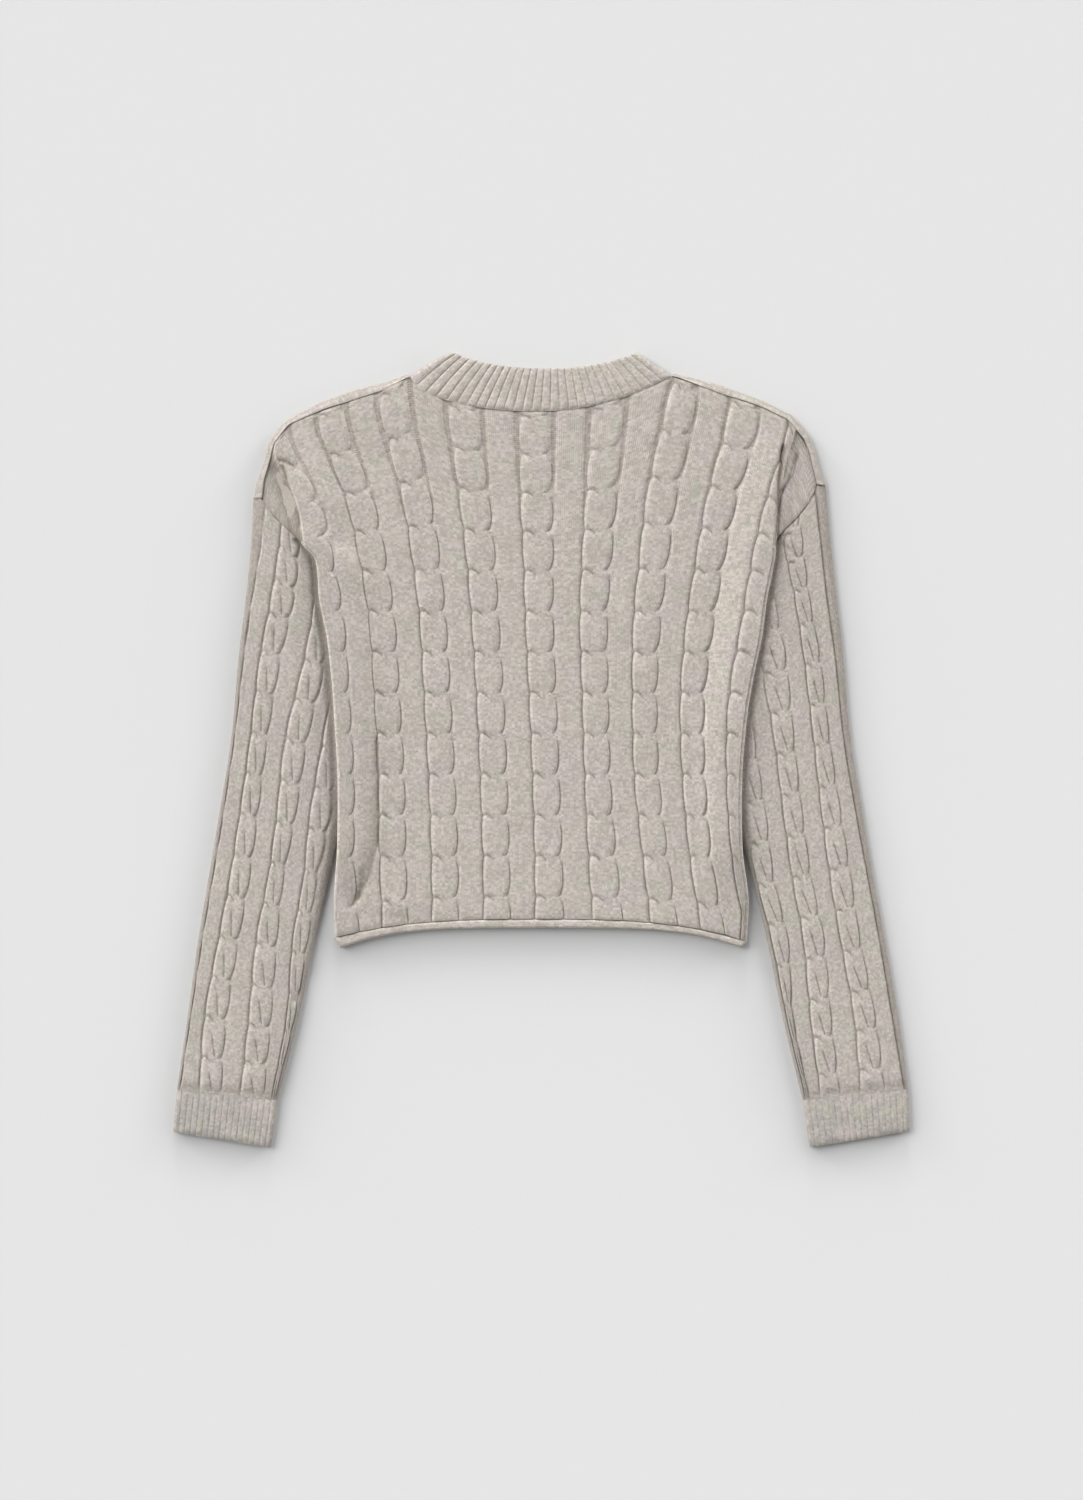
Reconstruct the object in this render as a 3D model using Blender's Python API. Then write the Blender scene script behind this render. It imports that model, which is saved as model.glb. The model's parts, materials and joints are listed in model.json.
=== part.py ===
"""Cropped cable-knit sweater, laid flat on its front with the back up.

All sizes below are millimetres; meshes are written in metres. +Z is up, +Y runs from hem to neck and
+X points to the wearer's right. The origin lies on the surface, under the middle of the outline.
Every piece is a knitted wall: its outer points carry the cables and ribs, its inner points are plain.
"""
from bisect import bisect_right
import math

import bmesh
import bpy

# ------------------------------------------------------------------ driving sizes, millimetres
MM = 0.001
WALL = 2.0            # knitted wall, without what is raised on it
AIR = 1.0             # air between the back and the front
SLIT = 0.6            # air inside a pressed sleeve, at its folds
PUFF = 1.2            # extra air along the middle of a sleeve
SEAM = 0.3            # clearance between two pieces at a seam
LIFT = 5.8            # height of the body's sides, which lie over the sleeves
SHELF = 18.0          # width of the lifted side
RAMP = 30.0           # width over which it comes down to the surface
VALLEY = 5.0          # width of the steep fold beside the shoulder cap
FOLD = 3.0            # width over which a folded edge rounds off

CABLE_RISE = 2.2
RIB_RISE = 1.4
CABLE_LEAST = 3.0     # what shows of the last cable before it turns round the side
CABLE_HALF = 0.265    # half a cable's width, as a share of the cables' pitch
PERIOD = 36.7         # length from one cable crossing to the next
BODY_CROSSING = -132.3
ROW_PHASES = (0.0, 0.30, 0.62)
CABLE_STEPS = (0.0, 0.16, 0.5, 0.84)
RIB_STEPS = (0.0, 0.28, 0.72)
FOLD_STEPS = (0.0, 0.35, 0.7)

FINE_RISE = 0.9       # ribs of the cuffs and the neckband
NECK_RIBS = 28
CUFF_RIBS = 17
NECK_LEFT = -118.0    # where the neck seam meets the shoulder seams
NECK_RIGHT = 117.0
NECK_TURN = 106.0     # where the left end of the neck seam starts to turn up
NECK_FOLD_LEFT = ((-117.0, 334.5), (-80.6, 358.0), 3.0)     # seam end, free end, bulge
NECK_FOLD_RIGHT = ((116.5, 338.0), (86.0, 358.0), -1.0)
NECK_EDGE_DIP = 14.5  # dip of the neckband's free edge at the back
FRONT_NECK_DROP = 80.0
FRONT_EDGE_DROP = 68.0
HEM_ROLL = 1.3        # swell of the rolled hem
HEM_LEFT = (-187.0, -181.0)     # ends at the seam and at the lower edge
HEM_RIGHT = (185.0, 181.0)
HEM_STEPS = 24
HEM_DROP = 1.0        # clearance under the panels' curved lower edges

# Middle line of each cable on the back, at eight heights.
CABLES = ("height", "c1", "c2", "c3", "c4", "c5", "c6", "c7", "c8", "c9")
CABLE_LINES = (
    (289, -240, -184, -126, -68, -6, 58, 118, 177, 234),
    (226, -210, -164, -112, -61, -5, 54, 107, 162, 215),
    (172, -199, -152, -104, -55, -3, 50, 101, 152, 202),
    (118, -189, -144, -98, -51, -2, 47, 95, 143, 193),
    (46, -184, -139, -94, -46, 1, 49, 93, 136, 179),
    (-26, -180, -135, -90, -43, 4, 51, 95, 138, 176),
    (-98, -180, -134, -87, -41, 6, 55, 104, 144, 181),
    (-152, -176, -132, -87, -40, 6, 60, 111, 153, 191),
)

# The body's folded sides and how far each is lifted over its sleeve.
SIDES = ("height", "left", "right", "left_lift", "right_lift")
SIDE_LINES = (
    (290, -216.5, 218, 0.0, 0.0),
    (262, -216.5, 217.5, 0.3, 0.35),
    (226, -216.5, 214, 0.75, 0.8),
    (188, -216.5, 211, 1.0, 1.0),
    (172, -204, 210, 1.0, 1.0),
    (136, -200, 203, 1.0, 1.0),
    (100, -193, 198, 1.0, 1.0),
    (64, -189, 190.5, 1.0, 1.0),
    (30, -186.5, 185, 1.0, 1.0),
    (-26, -183.5, 180.5, 1.0, 1.0),
    (-90, -184, 181, 1.0, 1.0),
    (-134, -187, 186.5, 0.25, 0.25),
    (-172, -186, 185, 0.0, 0.0),
)
ARMPIT = {"left": 187.0, "right": 191.5}    # where the armhole seam goes under the body's side

# Fold between the body and each shoulder cap, above the armpit.
VALLEYS = ("height", "left", "right")
VALLEY_LINES = (
    (187, -213.5, 208),
    (208, -215.5, 211),
    (226, -219, 213.8),
    (244, -227, 215.5),
    (262, -236, 217),
    (290, -245, 224),
)

# Armhole seam, from the body's side up and out to the shoulder.
ARMHOLES = ("height", "left", "right")
ARMHOLE_LINES = (
    (187, -216.5, 210.5),
    (193, -222.2, 213),
    (208, -236.5, 227.5),
    (227, -251, 241),
    (239, -262, 248),
)

# Shoulders: the seam on the back, and the fold beyond it where the front wraps over.
SHOULDERS = ("seam_x", "seam_y", "fold_x", "fold_y")
SHOULDER_LEFT = (
    (-251.0, 227.0, -259.5, 227.0),
    (-249.0, 244.0, -256.0, 242.0),
    (-243.5, 262.0, -250.0, 259.0),
    (-240.0, 276.0, -245.0, 278.0),
    (-227.0, 292.5, -231.0, 296.5),
    (-196.0, 306.0, -200.0, 313.0),
    (-164.0, 316.0, -167.0, 325.0),
    (-143.0, 323.0, -145.0, 330.0),
    (-118.5, 335.5, -120.5, 340.0),
)
SHOULDER_RIGHT = (
    (247.5, 239.0, 255.5, 238.5),
    (244.0, 254.0, 250.5, 252.0),
    (240.5, 268.0, 246.5, 268.0),
    (236.0, 279.5, 241.0, 282.0),
    (221.0, 297.0, 225.5, 301.5),
    (195.0, 309.5, 198.0, 315.0),
    (159.0, 321.0, 161.0, 328.5),
    (117.5, 336.5, 119.2, 340.0),
)
HALF_STACK = WALL + AIR / 2     # middle height of the two layers, and the radius of a shoulder fold
WRAP_STEPS = 6
WRAP_ROOT = 3.5       # how far the turned-over part reaches into the front
ROOT_INSET = 0.3
WRAP_GAP = 0.9        # clearance at the shoulder seam

# Sleeves: the outer fold, the lines between ribs and cables, and the inner fold, at ten heights.
SLEEVE = ("height", "outer", "strip", "rib1", "cable1", "rib2", "cable2", "rib3", "cable3", "inner")
SLEEVE_LEFT = (
    (226, -259.5, -248, -231, -216, -211, -205.5, -203, -201, -197),
    (180, -262, -253, -237, -217.5, -208, -202, -199.5, -197.5, -193),
    (136, -266.5, -260.5, -244, -222.5, -204.5, -197, -191, -187, -184),
    (82, -273, -268, -254, -234.5, -214, -194, -185, -178, -172),
    (10, -279.5, -276.5, -262.5, -246.5, -231, -210, -197, -181, -172),
    (-62, -291, -287, -272.5, -255.5, -239, -221.5, -209.5, -189.5, -180),
    (-116, -300, -296, -281, -262.5, -246.5, -232, -214.5, -202, -191),
    (-170, -309, -305, -291, -272, -257, -237.5, -224, -210, -204),
    (-242, -319, -316, -304, -283, -264, -243, -229.5, -222.5, -219),
    (-314, -329.5, -327, -308.5, -288.5, -272, -249.5, -243, -240, -237.5),
)
SLEEVE_RIGHT = (
    (226, 257, 247, 231, 215, 209.5, 205, 202, 199, 195),
    (180, 261, 252, 236, 219, 205, 200, 197, 194, 190),
    (136, 266, 257, 241.5, 228, 210, 196, 190, 186, 183),
    (82, 272, 264.5, 251, 236, 220.5, 197, 184, 178, 174),
    (10, 278.5, 272, 259.5, 244.5, 227.5, 209, 192, 177, 171),
    (-62, 290, 284, 270.5, 252.5, 235.5, 218, 203, 184, 175),
    (-116, 299, 294, 279, 259.5, 243.5, 225.5, 209.5, 193, 190),
    (-170, 309, 304, 287, 268.5, 254.5, 235, 222, 206.5, 203),
    (-242, 321.5, 316, 301, 281, 261, 242, 226.5, 221, 217.5),
    (-314, 331.5, 328, 310, 287, 269.5, 251, 241, 238, 235),
)
SLEEVE_TOP = {-1: 226.0, 1: 237.5}      # height of the outer fold at the armhole, by side
SLEEVE_UNDER = {                        # its hidden end under the body's side, (x, height)
    -1: ((-214.8, 183.8), (-208, 181), (-190, 163)),
    1: ((211.2, 187.2), (206, 185), (186, 168)),
}
SLEEVE_END = {-1: -306.0, 1: -305.0}    # height of the outer fold at the cuff
SLEEVE_CROSSING = {-1: 19.8, 1: -210.6}
TOP_TILT = 0.90       # slope of the armhole across the sleeve
COURSE_TILT = 0.21    # slope of the knitted rows further down
CUFF_TILT = 0.10
TILT_RUN = 110.0      # length over which the slope settles
TOP_BEND = 80.0       # length over which the rows bend to the armhole's curve
LINING_DROP = 1.8     # the inner edge of the sleeve's end is a little lower than the outer one
SEAM_DROP = 0.6       # clearance at the armhole, measured down the slanting seam
UNDER_DROP = 1.3      # the same under the sleeve, where its edge is straighter
CUFF_ENDS = {
    -1: ((-332.0, -344.0), (-243.5, -358.0)),
    1: ((332.0, -343.0), (241.5, -358.0)),
}

YARN = (0.50, 0.455, 0.41, 1.0)
YARN_DARK = (0.46, 0.42, 0.38, 1.0)


# ------------------------------------------------------------------ curves
def smooth(rows):
    """A smooth function through (x, y) rows; it goes on straight beyond its ends."""
    rows = sorted(rows)
    xs = [row[0] for row in rows]
    ys = [row[1] for row in rows]
    last = len(xs) - 1
    slopes = []
    for i in range(last + 1):
        low = max(i - 1, 0)
        high = min(i + 1, last)
        slopes.append((ys[high] - ys[low]) / (xs[high] - xs[low]))

    def value(x):
        if x <= xs[0]:
            return ys[0] + slopes[0] * (x - xs[0])
        if x >= xs[last]:
            return ys[last] + slopes[last] * (x - xs[last])
        i = bisect_right(xs, x) - 1
        span = xs[i + 1] - xs[i]
        s = (x - xs[i]) / span
        start = (1 + 2 * s) * (1 - s) ** 2 * ys[i] + s * (1 - s) ** 2 * span * slopes[i]
        end = s * s * (3 - 2 * s) * ys[i + 1] - s * s * (1 - s) * span * slopes[i + 1]
        return start + end

    return value


def straight(rows):
    """Straight lines through (x, y) rows; the end ones go on."""
    rows = sorted(rows)
    xs = [row[0] for row in rows]

    def value(x):
        i = min(max(bisect_right(xs, x) - 1, 0), len(rows) - 2)
        (x0, y0), (x1, y1) = rows[i], rows[i + 1]
        return y0 + (y1 - y0) * (x - x0) / (x1 - x0)

    return value


def columns(names, table):
    """One smooth function of height for each named column of a table."""
    curves = {}
    for at, name in enumerate(names[1:], start=1):
        curves[name] = smooth([(row[0], row[at]) for row in table])
    return curves


def step(s):
    """0 below 0, 1 above 1, smooth between."""
    s = min(max(s, 0.0), 1.0)
    return s * s * (3 - 2 * s)


def mix(a, b, t):
    return a + (b - a) * t


def between(p, q, t):
    return (mix(p[0], q[0], t), mix(p[1], q[1], t))


# ------------------------------------------------------------------ relief of the knit
def cable_rise(t, phase):
    """Height of a rope cable at t across it (0 to 1), phase in periods below a crossing."""
    edge = (1 - abs(2 * t - 1) ** 3) ** 0.8
    pinch = 0.45 * max(0.0, math.cos(2 * math.pi * phase)) * step((t - 0.5) / 0.4)
    below_strand = (phase - 0.6 * t) % 1.0
    tuck = 0.6 * math.exp(-below_strand / 0.25) * step(1 - t / 0.65)
    return CABLE_RISE * edge * (1 - pinch - tuck)


def rib_rise(t):
    """Height of a plain rib at t across it."""
    return RIB_RISE * (1 - abs(2 * t - 1) ** 3) ** 0.8


# ------------------------------------------------------------------ closed walls from grids of points
def add_grid(verts, faces, rows, wrap, flip):
    """Add rows of points joined by quads and return their indices."""
    index = []
    for row in rows:
        index.append(list(range(len(verts), len(verts) + len(row))))
        verts.extend(row)
    count = len(rows[0])
    for r in range(len(rows) - 1):
        for c in range(count if wrap else count - 1):
            d = (c + 1) % count
            quad = (index[r][c], index[r][d], index[r + 1][d], index[r + 1][c])
            faces.append(quad[::-1] if flip else quad)
    return index


def zip_rim(faces, fine, coarse, anchors):
    """Close the rim between a fine loop and a coarse loop whose points face its anchors."""
    total = len(fine)
    for q in range(len(coarse)):
        near = coarse[q]
        far = coarse[(q + 1) % len(coarse)]
        start = anchors[q]
        span = (anchors[(q + 1) % len(anchors)] - start) % total or total
        half = span // 2
        for k in range(span):
            a = fine[(start + k) % total]
            b = fine[(start + k + 1) % total]
            faces.append((b, a, near if k < half else far))
        faces.append((fine[(start + half) % total], near, far))


def border(rows, cols):
    """Grid places round the edge of a sheet, in order."""
    first_r, last_r = rows[0], rows[-1]
    first_c, last_c = cols[0], cols[-1]
    places = [(first_r, c) for c in cols]
    places += [(r, last_c) for r in rows[1:]]
    places += [(last_r, c) for c in reversed(cols[:-1])]
    places += [(r, first_c) for r in reversed(rows[1:-1])]
    return places


def finish_object(name, verts, faces, material):
    mesh = bpy.data.meshes.new(name)
    mesh.from_pydata([(x * MM, y * MM, z * MM) for x, y, z in verts], [], faces)
    shaped = bmesh.new()
    shaped.from_mesh(mesh)
    bmesh.ops.recalc_face_normals(shaped, faces=shaped.faces)
    shaped.to_mesh(mesh)
    shaped.free()
    mesh.shade_smooth()
    mesh.materials.append(material)
    piece = bpy.data.objects.new(name, mesh)
    bpy.context.scene.collection.objects.link(piece)
    return piece


def build_sheet(name, outer, inner_at, inner_rows, inner_cols, material):
    """A wall with a fine outer grid and a coarse, plain inner one at some of its rows and columns."""
    verts = []
    faces = []
    top = add_grid(verts, faces, outer, False, False)
    inner = [[inner_at(r, c) for c in inner_cols] for r in inner_rows]
    under = add_grid(verts, faces, inner, False, True)
    fine = border(range(len(outer)), range(len(outer[0])))
    coarse = border(inner_rows, inner_cols)
    row_of = {r: k for k, r in enumerate(inner_rows)}
    col_of = {c: k for k, c in enumerate(inner_cols)}
    anchors = [fine.index(place) for place in coarse]
    fine_ids = [top[r][c] for r, c in fine]
    coarse_ids = [under[row_of[r]][col_of[c]] for r, c in coarse]
    zip_rim(faces, fine_ids, coarse_ids, anchors)
    return finish_object(name, verts, faces, material)


def build_tube(name, outer, inner, inner_cols, material):
    """A flattened tube: closed loops outside, coarser loops inside, rims at both ends."""
    verts = []
    faces = []
    skin = add_grid(verts, faces, outer, True, False)
    lining = add_grid(verts, faces, inner, True, True)
    zip_rim(faces, skin[0], lining[0], inner_cols)
    turned = []
    zip_rim(turned, skin[-1], lining[-1], inner_cols)
    faces.extend(face[::-1] for face in turned)
    return finish_object(name, verts, faces, material)


# ------------------------------------------------------------------ the body's shape
cable = columns(CABLES, CABLE_LINES)
side = columns(SIDES, SIDE_LINES)
valley = columns(VALLEYS, VALLEY_LINES)
armhole = {"left": straight([(row[0], row[1]) for row in ARMHOLE_LINES]),
           "right": straight([(row[0], row[2]) for row in ARMHOLE_LINES])}
shoulder_seam = straight([row[:2] for row in SHOULDER_LEFT + SHOULDER_RIGHT])


def hem_height(x):
    """The seam above the hem band, lower towards the sides."""
    drop = 16.0 if x < 0 else 20.0
    return -152.0 - drop * (abs(x) / 184.0) ** 3


def hem_edge_height(x):
    """The lower edge of the hem band."""
    return -160.5 - 18.0 * (abs(x) / 181.0) ** 4


def neck_height(x):
    """The back neck seam; its left end turns up more steeply."""
    rise = 24.0 if x < -8 else 26.5
    turn = 10.0 * max(0.0, (-x - NECK_TURN) / 12.0) ** 2
    return 304.0 + rise * (abs(x + 8.0) / 115.0) ** 2.2 + turn


def top_height(x):
    """Upper edge of the back: shoulder seam, neck seam, shoulder seam."""
    if NECK_LEFT < x < NECK_RIGHT:
        return neck_height(x)
    return shoulder_seam(x)


def front_neck_height(x):
    """The front neck seam, deeper than the back one."""
    across = (x - NECK_LEFT) / (NECK_RIGHT - NECK_LEFT)
    ends = mix(neck_height(NECK_LEFT), neck_height(NECK_RIGHT), across)
    return ends - FRONT_NECK_DROP * max(0.0, 1 - (2 * across - 1) ** 2) ** 0.75


def cap_line(which, height):
    """Inner edge of the side rounding below the armpit, the cap's valley above it."""
    if height > ARMPIT[which]:
        return valley[which](height)
    inward = FOLD if which == "left" else -FOLD
    return side[which](height) + inward


def edge_line(which, height):
    """Outer edge of the back: folded side, then armhole seam."""
    return armhole[which](height) if height > ARMPIT[which] else side[which](height)


def body_lift(x, y):
    """Height of the body's underside, lifted where its sides lie over the sleeves."""
    lift = 0.0
    for which, sign in (("left", 1.0), ("right", -1.0)):
        inward = sign * (x - cap_line(which, y))
        share = 1 - step((inward + FOLD - SHELF) / RAMP)
        if y > ARMPIT[which]:
            share *= step(1 + inward / VALLEY)
        lift += LIFT * side[which + "_lift"](min(y, 290.0)) * share
    return lift


def wale_lines():
    """Functions of height for the 20 lines between caps, cables and ribs, from left to right."""
    lines = []
    centres = [cable[name] for name in CABLES[1:]]
    for i, middle in enumerate(centres):
        if i > 0:
            before = centres[i - 1]
            lines.append(lambda y, m=middle, b=before: mix(m(y), b(y), CABLE_HALF))
        if i < len(centres) - 1:
            after = centres[i + 1]
            lines.append(lambda y, m=middle, a=after: mix(m(y), a(y), CABLE_HALF))
    caps_left = [lambda y, s=s: mix(edge_line("left", y), cap_line("left", y), s) for s in FOLD_STEPS]
    caps_right = [lambda y, s=s: mix(edge_line("right", y), cap_line("right", y), s)
                  for s in reversed(FOLD_STEPS)]
    last_cable = lines.pop()
    lines.append(lambda y: min(last_cable(y), cap_line("right", y) - CABLE_LEAST))
    lines.insert(0, lambda y: cap_line("left", y))
    lines.append(lambda y: cap_line("right", y))
    return caps_left + lines + caps_right


def course_heights():
    """Nominal heights of the grid's rows, some at each cable crossing and between."""
    heights = [-152.3]
    period = 0
    while heights[-1] < 312.0:
        for phase in reversed(ROW_PHASES[1:] + (1.0,)):
            height = BODY_CROSSING + PERIOD * (period - phase)
            if height > -146.0 and height < 306.0:
                heights.append(height)
        period += 1
        if BODY_CROSSING + PERIOD * period > 340.0:
            break
    heights.append(312.0)
    return heights


COURSES = course_heights()
BEND_FROM = 140.0     # above this height the rows bend to meet the shoulders
HEM_BEND = 60.0       # and below this distance from the hem they bend to meet it
FADE_TOP = -80.0      # below this height the sides' lift fades out


def line_points(line, top):
    """Points of one line, a point on each course, ending on the top edge."""
    points = []
    for course in COURSES:
        height = course
        rise = max(0.0, (course - BEND_FROM) / (COURSES[-1] - BEND_FROM)) ** 1.3
        height += (top[1] - COURSES[-1]) * rise
        x = line(height)
        near_hem = max(0.0, 1 - (course - COURSES[0]) / HEM_BEND)
        height += (hem_height(x) - COURSES[0]) * near_hem
        x = line(height)
        points.append((mix(x, top[0], rise ** 4), height))
    return points


def top_of(line):
    """Where a line meets the top edge."""
    height = 310.0
    for _ in range(12):
        height = top_height(line(height))
    return (line(height), height)


def body_grid():
    """Rows of (x, y, band, t) over the back, finely divided across each band."""
    lines = wale_lines()
    tops = [row[:2] for row in SHOULDER_LEFT[:4]]
    tops += [top_of(line) for line in lines[4:20]]
    tops += [(229.0, 288.5), (239.5, 271.5), (244.0, 254.0), (247.5, 239.0)]
    tops[8] = (NECK_LEFT, neck_height(NECK_LEFT))
    tops[15] = (NECK_RIGHT, neck_height(NECK_RIGHT))
    tracks = [line_points(line, top) for line, top in zip(lines, tops)]
    for which, edge, first, second, cap in (("left", 0, 1, 2, 3), ("right", 23, 22, 21, 20)):
        for r in range(len(COURSES)):
            if tracks[edge][r][1] <= ARMPIT[which] < tracks[cap][r][1]:
                tracks[first][r] = between(tracks[edge][r], tracks[cap][r], FOLD_STEPS[1])
                tracks[second][r] = between(tracks[edge][r], tracks[cap][r], FOLD_STEPS[2])
    stations = []
    for i in range(3):
        stations.append((i, 0.0, "cap", FOLD_STEPS[i]))
    for i in range(17):
        kind = "cable" if i % 2 == 0 else "rib"
        for t in (CABLE_STEPS if kind == "cable" else RIB_STEPS):
            stations.append((3 + i, t, kind, t))
    stations.append((20, 0.0, "cap", 1.0))
    for i in range(3):
        stations.append((21 + i, 0.0, "cap", FOLD_STEPS[2 - i]))
    grid = []
    for r in range(len(COURSES)):
        row = []
        for at, share, kind, t in stations:
            here = tracks[at][r]
            if share:
                here = between(here, tracks[at + 1][r], share)
            row.append((here[0], here[1], kind, t))
        grid.append(row)
    return grid


GRID = body_grid()
LAST_ROW = len(GRID) - 1
LAST_COL = len(GRID[0]) - 1
FIRST_SEAM_ROW = next(r for r in range(LAST_ROW + 1) if GRID[r][0][1] > ARMPIT["left"])


def side_share(r, c):
    """How far a grid point is from the folded side, 0 on the fold and 1 clear of it."""
    from_side = min(c, LAST_COL - c)
    return FOLD_STEPS[from_side] if from_side < 3 else 1.0


def fold_gap(r):
    """Half the clearance between back and front at the folded side, wider at the armpit."""
    return SEAM / 2 + 0.4 * max(0.0, 1 - (FIRST_SEAM_ROW - 1 - r) / 2)


def round_fold(share):
    return math.sqrt(max(0.0, 1 - (1 - share) ** 2))


def back_outer():
    """Outer points of the back panel, with its cables and ribs."""
    rows = []
    for r, row in enumerate(GRID):
        phase = (BODY_CROSSING - COURSES[r]) / PERIOD
        points = []
        for c, (x, y, kind, t) in enumerate(row):
            base = body_lift(x, y)
            floor = base + WALL + AIR
            if kind == "cable":
                rise = cable_rise(t, phase)
            elif kind == "rib":
                rise = rib_rise(t)
            else:
                rise = 0.6 * RIB_RISE * math.sin(math.pi * t) if r >= FIRST_SEAM_ROW else 0.0
            top = floor + WALL + rise
            folded = r < FIRST_SEAM_ROW
            if folded:
                middle = base + HALF_STACK + fold_gap(r)
                top = mix(middle, top, round_fold(side_share(r, c)))
            elif c in (0, LAST_COL) or r == LAST_ROW:
                top -= 0.3 * WALL
            points.append((x, y, top))
        rows.append(points)
    return rows


def back_inner(r, c):
    x, y = GRID[r][c][:2]
    height = body_lift(x, y) + WALL + AIR
    if r < FIRST_SEAM_ROW and c in (0, LAST_COL):
        x += WALL if c == 0 else -WALL
        height += fold_gap(r) - AIR / 2
    return (x, y, height)


def coarse_columns():
    """Columns of the plain sides: the folds, the ramps and the lines that shape the neck."""
    half = [0, 2, 3, 7, 10, 14, 17, 21, 24, 28, 31]
    return half + [LAST_COL - c for c in reversed(half)]


def coarse_rows():
    """Rows of the plain sides: all where the lift fades at the hem, fewer above."""
    rows = [r for r in range(LAST_ROW) if COURSES[r] < FADE_TOP]
    rows += list(range(rows[-1] + 3, FIRST_SEAM_ROW - 3, 3))
    rows += list(range(FIRST_SEAM_ROW - 3, LAST_ROW + 1))
    return sorted(set(rows))


def build_back(material):
    return build_sheet("back_panel", back_outer(), back_inner, coarse_rows(), coarse_columns(), material)


# ------------------------------------------------------------------ front panel
def shoulder_track(table):
    """Curves of the seam and of the fold along one shoulder, by height less distance out."""
    curves = []
    for at in range(4):
        curves.append(straight([(row[1] - abs(row[0]), row[at]) for row in table]))
    return curves


def front_top(c):
    """Upper end of a front column: deep neck seam, or just inside the shoulder fold."""
    x, y = GRID[LAST_ROW][c][:2]
    if NECK_LEFT + 0.5 < x < NECK_RIGHT - 0.5:
        return (x, front_neck_height(x))
    curves = shoulder_track(SHOULDER_LEFT if x < 0 else SHOULDER_RIGHT)
    seam_x, seam_y, fold_x, fold_y = [curve(y - abs(x)) for curve in curves]
    inset = HALF_STACK / math.dist((seam_x, seam_y), (fold_x, fold_y))
    return between((fold_x, fold_y), (seam_x, seam_y), inset)


def front_place(r, c):
    """Plan position on the front: as the back, but on to the fold and with a deeper neck."""
    x, y = GRID[r][c][:2]
    end = GRID[LAST_ROW][c][:2]
    goal = front_top(c)
    power = 2 if NECK_LEFT < end[0] < NECK_RIGHT else 8
    rise = max(0.0, (COURSES[r] - BEND_FROM) / (COURSES[-1] - BEND_FROM)) ** power
    return x + (goal[0] - end[0]) * rise, y + (goal[1] - end[1]) * rise


def front_point(r, c, inside):
    x, y = front_place(r, c)
    base = body_lift(x, y)
    height = base + WALL if inside else base
    if r < FIRST_SEAM_ROW:
        middle = base + HALF_STACK - fold_gap(r)
        if not inside:
            height = mix(middle, height, round_fold(side_share(r, c)))
        elif c in (0, LAST_COL):
            x += WALL if c == 0 else -WALL
            height = middle
    return (x, y, height)


def shoulder_wrap(name, table, material):
    """The part of the front that turns over the shoulder fold and lies on top up to the seam."""
    curves = shoulder_track(table)
    places = [row[1] - abs(row[0]) for row in table]
    loops = []
    for k in range(2 * len(table) - 1):
        place = (places[k // 2] + places[(k + 1) // 2]) / 2
        seam_x, seam_y, fold_x, fold_y = [curve(place) for curve in curves]
        length = math.dist((seam_x, seam_y), (fold_x, fold_y))
        inward = ((seam_x - fold_x) / length, (seam_y - fold_y) / length)
        outside = [(HALF_STACK + WRAP_ROOT, ROOT_INSET), (HALF_STACK + 0.5, ROOT_INSET)]
        inside = [(HALF_STACK + WRAP_ROOT, WALL - ROOT_INSET), (HALF_STACK + 0.5, WALL - ROOT_INSET)]
        for n in range(WRAP_STEPS + 1):
            angle = math.pi * n / WRAP_STEPS
            for path, radius in ((outside, HALF_STACK), (inside, HALF_STACK - WALL)):
                across = HALF_STACK - radius * math.sin(angle)
                path.append((across, HALF_STACK - radius * math.cos(angle)))
        end = max(length - WRAP_GAP, HALF_STACK + 0.4)
        outside.append((end, 2 * HALF_STACK - 0.3 * WALL))
        inside.append((end, 2 * HALF_STACK - WALL))
        section = outside + inside[::-1]
        loops.append([(fold_x + inward[0] * a, fold_y + inward[1] * a, z) for a, z in section])
    verts = []
    faces = []
    index = add_grid(verts, faces, loops, True, False)
    half = len(index[0]) // 2
    for row in (index[0], index[-1]):
        for n in range(half - 1):
            faces.append((row[n], row[n + 1], row[-2 - n], row[-1 - n]))
    guide = finish_object(name, verts, faces, material)
    guide.hide_render = True
    guide.display_type = "WIRE"
    return guide


def build_front(material):
    """The plain front: its outer side faces down and rests on the surface."""
    rows = coarse_rows()
    cols = sorted(set(coarse_columns()) | {1, LAST_COL - 1})
    outer = [[front_point(r, c, False) for c in cols] for r in rows]
    inner_cols = [k for k, c in enumerate(cols) if c not in (1, LAST_COL - 1)]

    def inner_at(r, k):
        return front_point(rows[r], cols[k], True)

    panel = build_sheet("front_panel", outer, inner_at, range(len(rows)), inner_cols, material)
    for name, table in (("wrap_left", SHOULDER_LEFT), ("wrap_right", SHOULDER_RIGHT)):
        union = panel.modifiers.new(name, "BOOLEAN")
        union.operation = "UNION"
        union.solver = "EXACT"
        union.object = shoulder_wrap(name, table, material)
    return panel


# ------------------------------------------------------------------ sleeves
def sleeve_columns():
    """(band, t, rise kind) of each column over a sleeve, from its outer to its inner fold."""
    spec = [(0, 0.0, "fold"), (0, 0.35, "fold")]
    for band, kind in enumerate(("strip", "rib", "cable", "rib", "cable", "rib", "cable", "edge")):
        if kind == "strip":
            continue
        steps = {"rib": RIB_STEPS, "cable": CABLE_STEPS, "edge": (0.0,)}[kind]
        spec += [(band, t, kind) for t in steps]
    spec += [(7, 0.65, "fold"), (7, 1.0, "fold")]
    return spec


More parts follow.
